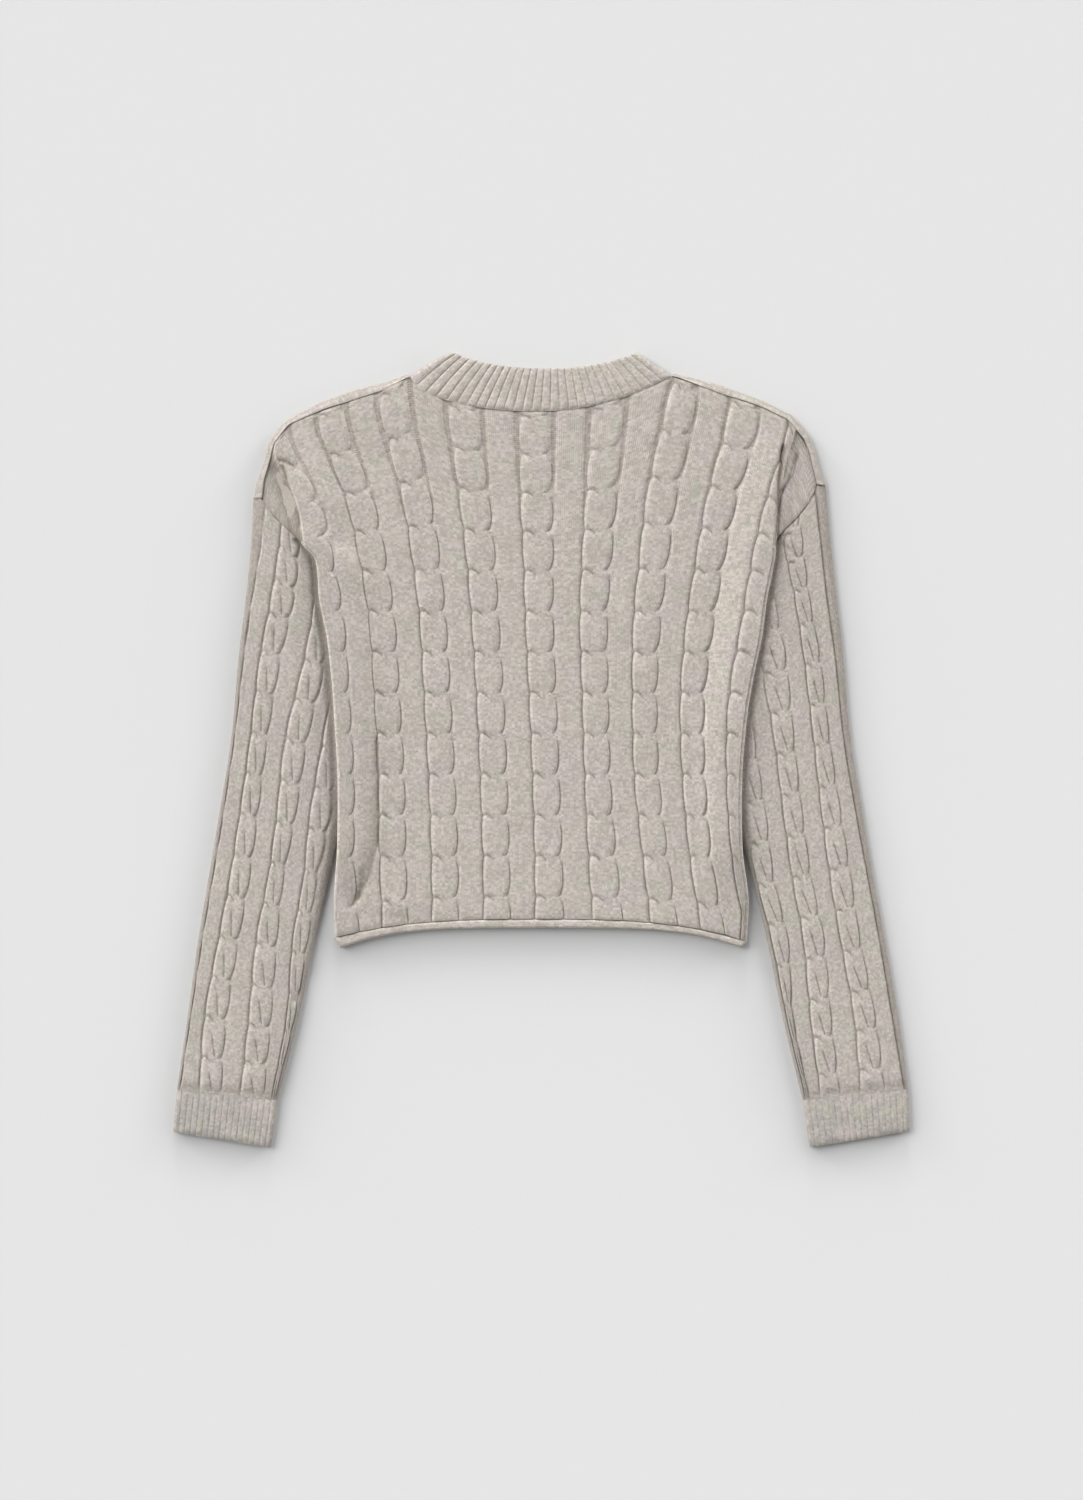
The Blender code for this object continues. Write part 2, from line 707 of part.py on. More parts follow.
def sleeve_rows(sign):
    """Heights of the rows, measured along the outer fold, from the cuff up."""
    top = SLEEVE_TOP[sign]
    end = SLEEVE_END[sign]
    heights = [end]
    period = math.floor((end - SLEEVE_CROSSING[sign]) / PERIOD)
    while heights[-1] < top:
        for phase in reversed(ROW_PHASES[1:] + (1.0,)):
            height = SLEEVE_CROSSING[sign] + PERIOD * (period + 1 - phase)
            if end + 5.0 < height < top - 5.0:
                heights.append(height)
        period += 1
        if SLEEVE_CROSSING[sign] + PERIOD * period > top:
            break
    heights.append(top)
    return heights


def sleeve_tilt(sign, height):
    """Slope of a row across the sleeve, steep at the armhole."""
    below = SLEEVE_TOP[sign] - height
    tilt = mix(TOP_TILT, COURSE_TILT, min(below / TILT_RUN, 1.0))
    near_cuff = step(1 - (height - SLEEVE_END[sign]) / TILT_RUN)
    return mix(tilt, CUFF_TILT, near_cuff)


def armhole_edge(sign, place, drop):
    """The armhole edge of the back or of the front, less a clearance, from the shoulder inwards."""
    c = 0 if sign < 0 else LAST_COL
    edge = [place(r, c)[:2] for r in range(FIRST_SEAM_ROW, LAST_ROW + 1)]
    shoulder = edge[-1]
    edge.append((shoulder[0] + 20.0 * sign, shoulder[1]))
    return straight([(x, y - drop) for x, y in edge + list(SLEEVE_UNDER[sign])])


def sleeve_place(sign, line, outer, height, seam):
    """Where a row meets a line of the sleeve; the last rows bend to follow the armhole."""
    def course(start):
        slope = sleeve_tilt(sign, start)
        y = start
        for _ in range(30):
            y = mix(y, start - slope * abs(line(y) - outer(start)), 0.6)
        return y

    top = SLEEVE_TOP[sign]
    end = top
    for _ in range(30):
        end = mix(end, seam(line(end)), 0.6)
    near = max(0.0, 1 - (top - height) / TOP_BEND)
    y = course(height) + (end - course(top)) * near
    return (line(y), y)


def build_sleeve(name, sign, table, material):
    lines = [columns(SLEEVE, table)[key] for key in SLEEVE[1:]]
    spec = sleeve_columns()
    which = "left" if sign < 0 else "right"
    heights = sleeve_rows(sign)
    outer_loops = []
    inner_loops = []
    count = len(spec)
    inner_cols = [0, 2, 5, 8, 14, 20, count - 3, count - 1]
    half_height = WALL + SLIT / 2
    back_edge = armhole_edge(sign, lambda r, c: GRID[r][c], SEAM_DROP)
    front_edge = armhole_edge(sign, front_place, UNDER_DROP)
    for height in heights:
        phase = (SLEEVE_CROSSING[sign] - height) / PERIOD
        plan = []
        below = []
        for band, t, kind in spec:
            def line(y, a=lines[band], b=lines[min(band + 1, 8)], t=t):
                return mix(a(y), b(y), t)

            x, y = sleeve_place(sign, line, lines[0], height, back_edge)
            plan.append((x, y, kind, t))
            below.append(sleeve_place(sign, line, lines[0], height, front_edge))
        width = abs(plan[-1][0] - plan[0][0])
        upper = []
        lower = []
        for k, (x, y, kind, t) in enumerate(plan):
            across = abs(x - plan[0][0]) / width
            puff = PUFF * math.sin(math.pi * across)
            clear = 1.0
            if y < ARMPIT[which] + 3.0:
                clear = step(((x - side[which](y)) * sign - 1.5) / 7.0)
            rise = 0.0
            if kind == "cable":
                rise = cable_rise(t, phase)
            elif kind == "rib":
                rise = rib_rise(t)
            top = 2 * half_height + (puff + rise) * clear
            share = 1.0
            if k < 2:
                share = (0.0, 0.35)[k]
            elif k > count - 3:
                share = (0.35, 0.0)[k - count + 2]
            curve = round_fold(share)
            upper.append((x, y, mix(half_height, top, curve)))
            lower.append(below[k] + (mix(half_height, 0.0, curve),))
        under = [lower[k] for k in (count - 2, count - 3, 14, 5, 2, 1)]
        outer_loops.append(upper + under)
        drop = LINING_DROP if height == heights[-1] else 0.0
        inner_loops.append(sleeve_lining(plan, upper, below, inner_cols, half_height, drop))
    anchors = inner_cols + [count + 1, count + 2, count + 3, count + 4]
    kept = sorted(set(range(0, len(heights), 2)) | {len(heights) - 1})
    inner_loops = [inner_loops[k] for k in kept]
    return build_tube(name, outer_loops, inner_loops, anchors, material)


def sleeve_lining(plan, upper, below, kept, half_height, drop):
    """One plain loop inside a sleeve, a wall's thickness in from the outer one."""
    loop = []
    first, last = plan[0], plan[-1]
    for k in kept:
        x, y = plan[k][:2]
        if k == 0 or k == kept[-1]:
            toward = last if k == 0 else first
            share = WALL / math.dist(first[:2], last[:2])
            x, y = between((x, y), toward[:2], share)
            loop.append((x, y, half_height))
            continue
        across = math.dist((x, y), first[:2]) / math.dist(first[:2], last[:2])
        puff = PUFF * math.sin(math.pi * across)
        roof = min(half_height + SLIT / 2 + puff, upper[k][2] - WALL)
        loop.append((x, y - drop, roof))
    for k in (kept[-2], 14, 5, 2):
        loop.append(below[k] + (WALL,))
    return loop


# ------------------------------------------------------------------ ribbed and rolled bands
BELOW = (0.96, 0.85, 0.7, 0.5, 0.3, 0.15, 0.04)     # places of the points under a band


def band_loops(rows, steps, rise, half_height, places=BELOW):
    """Loops of a flattened band. Each row has its upper path, its lower path and its swell."""
    outer = []
    inner = []
    anchors = [round(steps * share) for share in (0.0, 0.15, 0.3, 0.5, 0.7, 0.85, 1.0)]
    for over, under, swell, lean in rows:
        width = math.dist(over(0.0), over(1.0))
        loop = []
        for k in range(steps + 1):
            t = k / steps
            share = min(1.0, min(t, 1 - t) * width / FOLD)
            raised = rise if k % 2 else 0.0
            top = 2 * half_height - lean + swell + raised
            x, y = over(t)
            loop.append((x, y, mix(half_height, top, round_fold(share))))
        for t in places:
            x, y = under(t)
            share = min(1.0, min(t, 1 - t) * width / FOLD)
            loop.append((x, y, mix(half_height, lean, round_fold(share))))
        outer.append(loop)
        lining = []
        for k in anchors:
            t = min(max(k / steps, WALL / width), 1 - WALL / width)
            x, y = over(t)
            air = 0.0 if k in (0, steps) else half_height - WALL
            lining.append((x, y, half_height + air))
        for t in places[1:-1]:
            x, y = under(t)
            lining.append((x, y, WALL))
        inner.append(lining)
    return outer, inner, anchors + [steps + 2 + k for k in range(len(places) - 2)]


def build_cuff(name, sign, table, material):
    """A ribbed cuff, pressed flat like the sleeve above it."""
    lines = columns(SLEEVE, table)
    start = SLEEVE_END[sign] - SEAM
    seam = armhole_edge(sign, front_place, UNDER_DROP)
    top_outer = sleeve_place(sign, lines["outer"], lines["outer"], start, seam)
    top_inner = sleeve_place(sign, lines["inner"], lines["outer"], start, seam)
    end_outer, end_inner = CUFF_ENDS[sign]
    rows = []
    for share in (1.0, 0.5, 0.0):
        first = between(top_outer, end_outer, share)
        last = between(top_inner, end_inner, share)

        def path(t, first=first, last=last):
            return between(first, last, t)

        rows.append((path, path, 0.0, 0.0))
    outer, inner, anchors = band_loops(rows, 2 * CUFF_RIBS, FINE_RISE, WALL + SLIT / 2)
    return build_tube(name, outer, inner, anchors, material)


def neck_paths(share):
    """Back and front paths round the neckband, from its seam (0) to its free edge (1)."""
    back_seam = straight([point[:2] for point in GRID[LAST_ROW][21:46]])
    front_seam = straight([front_top(c) for c in coarse_columns() if 21 <= c <= 45])
    folds = []
    for seam_end, free_end, bulge in (NECK_FOLD_LEFT, NECK_FOLD_RIGHT):
        x, y = between(seam_end, free_end, share)
        folds.append((x, y + bulge * math.sin(math.pi * share)))
    left, right = folds

    def path(t, seam_drop, free_drop, power):
        x = mix(left[0], right[0], t)
        dip = max(0.0, 1 - abs(2 * t - 1) ** 2.4) ** power
        return (x, mix(left[1], right[1], t) - mix(seam_drop, free_drop, share) * dip)

    def back(t):
        x, y = path(t, 0.0, NECK_EDGE_DIP, 1.0)
        x_seam = mix(NECK_FOLD_LEFT[0][0], NECK_FOLD_RIGHT[0][0], t)
        ends = mix(NECK_FOLD_LEFT[0][1], NECK_FOLD_RIGHT[0][1], t)
        below = ends - max(back_seam(x_seam), front_seam(x_seam)) - SEAM_DROP
        return (x, y - below * (1 - share))

    def front(t):
        x, y = path(t, 0.0, FRONT_EDGE_DROP, 0.75)
        x_seam = mix(NECK_FOLD_LEFT[0][0], NECK_FOLD_RIGHT[0][0], t)
        ends = mix(NECK_FOLD_LEFT[0][1], NECK_FOLD_RIGHT[0][1], t)
        below = ends - front_seam(x_seam) - SEAM_DROP
        return (x, y - below * (1 - share))

    return back, front


def build_neckband(material):
    """The ribbed neckband: one ring, its back half on top and its front half below."""
    rows = []
    for share in (0.0, 0.5, 1.0):
        back, front = neck_paths(share)
        rows.append((back, front, 0.0, 0.0))
    first, last = NECK_FOLD_LEFT[0][0], NECK_FOLD_RIGHT[0][0]
    stops = [(front_top(c)[0] - first) / (last - first) for c in coarse_columns() if 21 < c < 45]
    places = [0.96] + stops[::-1] + [0.04]
    outer, inner, anchors = band_loops(rows, 2 * NECK_RIBS, FINE_RISE, HALF_STACK, places)
    return build_tube("neckband", outer, inner, anchors, material)


def build_hem(material):
    """The rolled band round the bottom: fuller in its middle, turned in at its lower edge."""
    panel_edge = straight([point[:2] for point in GRID[0]])
    rows = []
    for share, swell, lean in ((1.0, 0.0, 0.9), (0.75, HEM_ROLL, 0.0), (0.35, HEM_ROLL, 0.0), (0.0, 0.0, 0.0)):
        left = mix(HEM_LEFT[0], HEM_LEFT[1], share)
        right = mix(HEM_RIGHT[0], HEM_RIGHT[1], share)

        def path(t, left=left, right=right, share=share):
            x = mix(left, right, t)
            upper = panel_edge(x) - HEM_DROP
            return (x, mix(upper, hem_edge_height(x), share))

        rows.append((path, path, swell, lean))
    outer, inner, anchors = band_loops(rows, HEM_STEPS, 0.0, HALF_STACK)
    return build_tube("hem_band", outer, inner, anchors, material)


# ------------------------------------------------------------------ materials
def knit_material(name, colour):
    material = bpy.data.materials.new(name)
    material.use_nodes = True
    shader = material.node_tree.nodes["Principled BSDF"]
    shader.inputs["Base Color"].default_value = colour
    shader.inputs["Roughness"].default_value = 0.9
    shader.inputs["Metallic"].default_value = 0.0
    return material


def main():
    for old in list(bpy.data.objects):
        bpy.data.objects.remove(old, do_unlink=True)
    knit = knit_material("cable_knit", YARN)
    rib = knit_material("rib_knit", YARN_DARK)
    build_back(knit)
    build_front(knit)
    build_sleeve("sleeve_left", -1, SLEEVE_LEFT, knit)
    build_sleeve("sleeve_right", 1, SLEEVE_RIGHT, knit)
    build_cuff("cuff_left", -1, SLEEVE_LEFT, rib)
    build_cuff("cuff_right", 1, SLEEVE_RIGHT, rib)
    build_neckband(rib)
    build_hem(rib)


main()
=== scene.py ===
# %% [markdown]
# # A cropped cable-knit sweater, laid flat with its back up
#
# The solids give the sweater's shape in broad strokes. Here each of its eight knitted pieces gets the
# relief and the yarn of the real thing: ropes and ribs on the body and sleeves, fine rib on the neckband
# and cuffs, and a rolled hem.
#
# A cable sweater follows rules: wales run from the hem to the shoulders, and every rope crosses itself
# at the same courses. So each piece starts as a plain shell laid out on those wales and courses, and one
# Geometry Nodes tree raises the knit on it. One shader group, heather yarn in knit stitches, then serves
# every material.

# %% Load the solids
import json
import math
import bmesh
import bpy
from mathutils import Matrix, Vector
import numpy as np

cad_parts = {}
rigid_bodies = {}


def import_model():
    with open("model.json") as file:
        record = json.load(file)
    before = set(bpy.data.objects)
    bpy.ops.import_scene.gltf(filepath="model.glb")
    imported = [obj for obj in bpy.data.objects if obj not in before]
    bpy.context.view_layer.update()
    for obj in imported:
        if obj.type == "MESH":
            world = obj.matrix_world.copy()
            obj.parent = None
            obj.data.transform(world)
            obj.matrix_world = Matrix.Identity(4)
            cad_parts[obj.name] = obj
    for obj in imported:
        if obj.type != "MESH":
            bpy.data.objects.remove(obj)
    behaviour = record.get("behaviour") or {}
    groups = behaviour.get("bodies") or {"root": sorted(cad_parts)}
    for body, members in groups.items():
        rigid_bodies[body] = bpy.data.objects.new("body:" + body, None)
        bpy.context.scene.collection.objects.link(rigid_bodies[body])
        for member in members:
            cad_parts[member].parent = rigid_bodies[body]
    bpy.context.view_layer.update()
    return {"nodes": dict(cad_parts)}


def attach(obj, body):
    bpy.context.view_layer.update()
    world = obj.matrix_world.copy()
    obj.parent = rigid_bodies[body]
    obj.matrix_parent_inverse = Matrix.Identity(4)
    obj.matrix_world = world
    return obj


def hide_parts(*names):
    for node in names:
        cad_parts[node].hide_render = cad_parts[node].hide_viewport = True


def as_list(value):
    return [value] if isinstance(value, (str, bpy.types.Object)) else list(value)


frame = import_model()
MM = 0.001  # the tables are millimetres, the meshes are metres
print("solids:", ", ".join(sorted(frame["nodes"])))

# %% [markdown]
# ## Curves through tables
#
# The garment's lines are read off at a few heights. A pattern cutter draws a smooth curve through such
# points, and so does `smooth`; `straight` joins them like a ruler. Both take whole arrays, because a
# knitted surface has tens of thousands of points.

# %% Curve helpers
def smooth(rows):
    """A smooth curve through (x, y) rows; it goes on straight beyond its ends."""
    xs, ys = np.array(sorted(rows), float).T
    at = np.arange(len(xs))
    low, high = np.maximum(at - 1, 0), np.minimum(at + 1, len(xs) - 1)
    slopes = (ys[high] - ys[low]) / (xs[high] - xs[low])

    def value(x):
        x = np.asarray(x, float)
        i = np.clip(np.searchsorted(xs, x, side="right") - 1, 0, len(xs) - 2)
        span = xs[i + 1] - xs[i]
        s = np.clip((x - xs[i]) / span, 0, 1)
        start = (1 + 2 * s) * (1 - s) ** 2 * ys[i] + s * (1 - s) ** 2 * span * slopes[i]
        end = s * s * (3 - 2 * s) * ys[i + 1] - s * s * (1 - s) * span * slopes[i + 1]
        beyond = np.minimum(x - xs[0], 0) * slopes[0] + np.maximum(x - xs[-1], 0) * slopes[-1]
        return start + end + beyond

    return value


def straight(rows):
    """Straight lines through (x, y) rows; the end ones go on."""
    xs, ys = np.array(sorted(rows), float).T

    def value(x):
        i = np.clip(np.searchsorted(xs, x, side="right") - 1, 0, len(xs) - 2)
        return ys[i] + (ys[i + 1] - ys[i]) * (x - xs[i]) / (xs[i + 1] - xs[i])

    return value


def columns(names, table):
    """One smooth function of height for each named column of a table."""
    return {name: smooth([(row[0], row[at]) for row in table])
            for at, name in enumerate(names) if at}


def step(s):
    """0 below 0, 1 above 1, smooth between."""
    s = np.clip(s, 0, 1)
    return s * s * (3 - 2 * s)


def mix(a, b, t):
    return a + (b - a) * t


peak = ((0, 0), (1, 1), (2, 0))
print("a peak at a quarter of its width: smooth", smooth(peak)(0.5), "straight", straight(peak)(0.5))

# %% [markdown]
# ## The body's measures
#
# A knitter works from a chart of widths at a few heights, and so does this script: the middle line of each
# cable, the folded sides, the armholes and the shoulder seams. The solids were shaped from such tables
# too, so the shells made here lie on them. Heights run from the hem up to the neck.

# %% Body tables, millimetres
WALL = 2.0  # knitted wall, without what is raised on it
AIR = 1.0  # air between the back and the front
LIFT = 5.8  # height of the body's sides, which lie over the sleeves
SHELF = 18.0  # width of the lifted side
RAMP = 30.0  # width over which it comes down to the surface
LIFT_TOP = 290.0  # the lift stays the same above this height
VALLEY = 12.0  # width of the fold beside the shoulder cap
FOLD = 3.0  # width over which a folded edge rounds off
CABLE_LEAST = 3.0  # what shows of the last cable before it turns round the side
CABLE_HALF = 0.265  # half a cable's width, as a share of the cables' pitch
PERIOD = 36.7  # length from one cable crossing to the next
BODY_CROSSING = -132.3
NECK_LEFT = -118.0  # where the neck seam meets the shoulder seams
NECK_RIGHT = 117.0
NECK_TURN = 106.0  # where the left end of the neck seam starts to turn up
FRONT_NECK_DROP = 80.0

# Middle line of each cable on the back, at eight heights.
CABLES = ("height", "c1", "c2", "c3", "c4", "c5", "c6", "c7", "c8", "c9")
CABLE_LINES = (
    (289, -240, -184, -126, -68, -6, 58, 118, 177, 234),
    (226, -210, -164, -112, -61, -5, 54, 107, 162, 215),
    (172, -199, -152, -104, -55, -3, 50, 101, 152, 202),
    (118, -189, -144, -98, -51, -2, 47, 95, 143, 193),
    (46, -184, -139, -94, -46, 1, 49, 93, 136, 179),
    (-26, -180, -135, -90, -43, 4, 51, 95, 138, 176),
    (-98, -180, -134, -87, -41, 6, 55, 104, 144, 181),
    (-152, -176, -132, -87, -40, 6, 60, 111, 153, 191),
)

# The body's folded sides and how far each is lifted over its sleeve.
SIDES = ("height", "left", "right", "left_lift", "right_lift")
SIDE_LINES = (
    (290, -216.5, 218, 0.0, 0.0),
    (262, -216.5, 217.5, 0.3, 0.35),
    (226, -216.5, 214, 0.75, 0.8),
    (188, -216.5, 211, 1.0, 1.0),
    (172, -204, 210, 1.0, 1.0),
    (136, -200, 203, 1.0, 1.0),
    (100, -193, 198, 1.0, 1.0),
    (64, -189, 190.5, 1.0, 1.0),
    (30, -186.5, 185, 1.0, 1.0),
    (-26, -183.5, 180.5, 1.0, 1.0),
    (-90, -184, 181, 1.0, 1.0),
    (-134, -187, 186.5, 0.25, 0.25),
    (-172, -186, 185, 0.0, 0.0),
)
ARMPIT = {"left": 187.0, "right": 191.5}  # where the armhole seam goes under the body's side

print("body tables:", len(CABLES) - 1, "cables,", SIDE_LINES[6][2] - SIDE_LINES[6][1], "mm wide at the chest")

# %% Shoulder tables, millimetres
# Fold between the body and each shoulder cap, above the armpit.
VALLEYS = ("height", "left", "right")
VALLEY_LINES = (
    (187, -213.5, 208),
    (208, -215.5, 211),
    (226, -219, 213.8),
    (244, -227, 215.5),
    (262, -236, 217),
    (290, -245, 224),
)

# Armhole seam, from the body's side up and out to the shoulder: height, left, right.
ARMHOLE_LINES = (
    (187, -216.5, 210.5),
    (193, -222.2, 213),
    (208, -236.5, 227.5),
    (227, -251, 241),
    (239, -262, 248),
)

# Shoulders: the seam on the back (x, y), and the fold beyond it where the front wraps over (x, y).
SHOULDER_LEFT = (
    (-251.0, 227.0, -259.5, 227.0),
    (-249.0, 244.0, -256.0, 242.0),
    (-243.5, 262.0, -250.0, 259.0),
    (-240.0, 276.0, -245.0, 278.0),
    (-227.0, 292.5, -231.0, 296.5),
    (-196.0, 306.0, -200.0, 313.0),
    (-164.0, 316.0, -167.0, 325.0),
    (-143.0, 323.0, -145.0, 330.0),
    (-118.5, 335.5, -120.0, 338.2),
)
SHOULDER_RIGHT = (
    (247.5, 239.0, 255.5, 238.5),
    (244.0, 254.0, 250.5, 252.0),
    (240.5, 268.0, 246.5, 268.0),
    (236.0, 279.5, 241.0, 282.0),
    (221.0, 297.0, 225.5, 301.5),
    (195.0, 309.5, 198.0, 315.0),
    (159.0, 321.0, 161.0, 328.5),
    (117.5, 336.5, 118.8, 339.4),
)
HALF_STACK = WALL + AIR / 2  # middle height of the two layers, and the radius of a shoulder fold
print("the shoulders are", SHOULDER_RIGHT[0][0] - SHOULDER_LEFT[0][0], "mm wide over their seams")

# %% [markdown]
# ## The body's plan
#
# The panel is drawn as twenty-four lines from hem to shoulder: the edges of every cable and rib, and the
# folded sides. Courses cross them, bending up to the shoulders and down to the curved hem.

# %% Edges of the body
cable = columns(CABLES, CABLE_LINES)
side = columns(SIDES, SIDE_LINES)
valley = columns(VALLEYS, VALLEY_LINES)
armhole = {"left": straight([(row[0], row[1]) for row in ARMHOLE_LINES]),
           "right": straight([(row[0], row[2]) for row in ARMHOLE_LINES])}
shoulder_seam = straight([row[:2] for row in SHOULDER_LEFT + SHOULDER_RIGHT])


HEM_MIDDLE = -152.0  # height of the hem seam at its middle
HEM_DROPS = (16.0, 20.0)  # how much lower its left and right ends are
HEM_HALF = 184.0
NECK_BOTTOM = (-8.0, 304.0)  # lowest point of the back neck
NECK_RISES = (24.0, 26.5)  # rise of the neck seam to its left and right ends
NECK_HALF = 115.0
NECK_TURN_SIZE = (12.0, 10.0)  # length and rise of its turn at the left end


def hem_height(x):
    drop = np.where(x < 0, HEM_DROPS[0], HEM_DROPS[1])
    return HEM_MIDDLE - drop * (np.abs(x) / HEM_HALF) ** 3


def neck_height(x):
    middle, bottom = NECK_BOTTOM
    rise = np.where(x < middle, NECK_RISES[0], NECK_RISES[1])
    turn = NECK_TURN_SIZE[1] * np.maximum(0, (-x - NECK_TURN) / NECK_TURN_SIZE[0]) ** 2
    return bottom + rise * (np.abs(x - middle) / NECK_HALF) ** 2.2 + turn


def top_height(x):
    return np.where((x > NECK_LEFT) & (x < NECK_RIGHT), neck_height(x), shoulder_seam(x))


def cap_line(which, height):
    inward = FOLD if which == "left" else -FOLD
    return np.where(height > ARMPIT[which], valley[which](height), side[which](height) + inward)


def edge_line(which, height):
    return np.where(height > ARMPIT[which], armhole[which](height), side[which](height))


def body_lift(x, y):
    """Height of the body's underside, lifted where its sides lie over the sleeves."""
    lift = 0.0
    for which, sign in (("left", 1.0), ("right", -1.0)):
        inward = sign * (x - cap_line(which, y))
        share = 1 - step((inward + FOLD - SHELF) / RAMP)
        share = np.where(y > ARMPIT[which], share * step(1 + inward / VALLEY), share)
        lift = lift + LIFT * side[which + "_lift"](np.minimum(y, LIFT_TOP)) * share
    return lift


print("the back's neck curve is", round(float(neck_height(NECK_LEFT)) - NECK_BOTTOM[1], 1), "mm deep")

# %% Lines and courses
COURSE_START = -152.3
COURSE_END = 312.0
BEND_FROM = 140.0  # the courses bend up to the shoulders from here
HEM_BEND = 60.0  # and down to the hem over this height
CAP_SHARES = (0.0, 0.35, 0.7)  # how far in from the side each line beyond the outer cables lies
NECK_LINES = (8, 15)  # the two lines that end where the neck seam meets the shoulder seams
RIGHT_TOPS = [(229.0, 288.5), (239.5, 271.5), (244.0, 254.0), (247.5, 239.0)]


def wale_lines():
    """Functions of height for the 24 lines, from the left fold to the right one."""
    lines = [lambda y, s=s: mix(edge_line("left", y), cap_line("left", y), s) for s in CAP_SHARES + (1,)]
    centres = [cable[name] for name in CABLES[1:]]
    for near, far in zip(centres, centres[1:]):
        lines.append(lambda y, a=near, b=far: mix(a(y), b(y), CABLE_HALF))
        lines.append(lambda y, a=near, b=far: mix(b(y), a(y), CABLE_HALF))
    last_cable = lines.pop()
    lines.append(lambda y: np.minimum(last_cable(y), cap_line("right", y) - CABLE_LEAST))
    lines += [lambda y, s=s: mix(edge_line("right", y), cap_line("right", y), s)
              for s in (1,) + CAP_SHARES[::-1]]
    return lines


def line_track(line, top, courses):
    """One line's points on every course, ending on the panel's top edge."""
    rise = np.maximum(0, (courses - BEND_FROM) / (COURSE_END - BEND_FROM)) ** 1.3
    height = courses + (top[1] - COURSE_END) * rise
    near_hem = np.maximum(0, 1 - (courses - courses[0]) / HEM_BEND)
    height = height + (hem_height(line(height)) - courses[0]) * near_hem
    return np.array([mix(line(height), top[0], rise ** 4), height])


def top_of(line):
    height = 310.0
    for _ in range(12):
        height = float(top_height(line(height)))
    return float(line(height)), height


def body_tracks(courses):
    """Every line on every course, as an array of lines by (x, y) by courses."""
    lines = wale_lines()
    tops = [row[:2] for row in SHOULDER_LEFT[:4]] + [top_of(line) for line in lines[4:20]] + RIGHT_TOPS
    for at, x in zip(NECK_LINES, (NECK_LEFT, NECK_RIGHT)):
        tops[at] = (x, float(neck_height(x)))
    tracks = np.array([line_track(line, top, courses) for line, top in zip(lines, tops)])
    for which, edge, first, second, cap in (("left", 0, 1, 2, 3), ("right", 23, 22, 21, 20)):
        late = (tracks[edge, 1] <= ARMPIT[which]) & (tracks[cap, 1] > ARMPIT[which])
        for line, share in ((first, CAP_SHARES[1]), (second, CAP_SHARES[2])):
            tracks[line][:, late] = mix(tracks[edge], tracks[cap], share)[:, late]
    return tracks


print("the body's plan has", len(wale_lines()), "lines")

# %% Courses of a piece
PERIOD_ROWS = 23  # rows from one crossing to the next
CROWDING = 0.45  # how much closer together they are at a crossing
END_ROWS = np.array([0, 0.8, 1.7])  # the last rows, measured from either end
END_GAP = 2.6


def knit_rows(first, last, crossing):
    """Heights of the rows from first to last, crowded at the crossings and at both ends."""
    at = np.arange(math.floor((first - crossing) / PERIOD), math.ceil((last - crossing) / PERIOD),
                   1 / PERIOD_ROWS)
    heights = crossing + PERIOD * (at - CROWDING * np.sin(2 * math.pi * at) / (2 * math.pi))
    inside = heights[(heights > first + END_GAP) & (heights < last - END_GAP)]
    return np.concatenate([first + END_ROWS, inside, last - END_ROWS[::-1]])


courses = knit_rows(COURSE_START, COURSE_END, BODY_CROSSING)
tracks = body_tracks(courses)
print("body:", tracks.shape[0], "lines,", len(courses), "courses")

# %% [markdown]
# ## Knitted shells
#
# Knitted cloth has thickness, so a single sheet of faces wouldn't do: its edges would look like paper.
# Solidify would give a wall, but with the relief printed through on its inner side. So each piece is built
# as a closed wall: a fine skin that carries the relief and a coarse, plain inner side, called the lining
# here, zipped together at the rim. Every skin point remembers where it is in the knit, as attributes:
#
# - `across`: 0 to 1 over the band that it lies in
# - `turn`: how many crossings it is below the first one
# - `cable`, `rib`, `fine`: how strongly each kind of knit is raised there
# - `slack`: how far the grooves beside its band are open
# - `parted`: how far a rope's two strands have drawn apart, as they do on a narrow sleeve
# - `purl`: 1 where the cloth shows its purl ground, a ladder of little bars
# - `seam`: how much shade is painted into the colour: along seams, in creases and grooves, and on folds
# - `skin`: 1 on the outside, where the yarn makes the surface a little rough, 0 on the flat underside
#
# The UV map counts wales and courses, so the stitches follow the cloth wherever it bends. A second set of
# numbers at the faces' corners, `cell`, repeats `across` and `turn` for the material and tells a rope's
# band from a rib's. Corners can jump from one band to the next, which points can't.

# %% Faces of a shell
KNIT = ("across", "turn", "cable", "rib", "fine", "slack", "parted", "purl", "seam", "skin")


def grid_faces(ids, wrap, flip):
    """Quads between the rows of an array of point numbers."""
    if wrap:
        ids = np.concatenate([ids, ids[:, :1]], axis=1)
    quads = np.stack([ids[:-1, :-1], ids[:-1, 1:], ids[1:, 1:], ids[1:, :-1]], axis=-1).reshape(-1, 4)
    return quads[:, ::-1] if flip else quads


def zip_rim(fine, coarse, anchors):
    """Close the rim between a fine loop and a coarse loop whose points face its anchors."""
    faces = []
    total = len(fine)
    for q in range(len(coarse)):
        near, far = coarse[q], coarse[(q + 1) % len(coarse)]
        span = (anchors[(q + 1) % len(anchors)] - anchors[q]) % total or total
        half = span // 2
        for k in range(span):
            a, b = fine[(anchors[q] + k) % total], fine[(anchors[q] + k + 1) % total]
            faces.append((b, a, near if k < half else far))
        faces.append((fine[(anchors[q] + half) % total], near, far))
    return faces


def border(rows, cols):
    """Grid places round the edge of a sheet, in order."""
    places = [(rows[0], c) for c in cols] + [(r, cols[-1]) for r in rows[1:]]
    places += [(rows[-1], c) for c in reversed(cols[:-1])]
    return places + [(r, cols[0]) for r in reversed(rows[1:-1])]


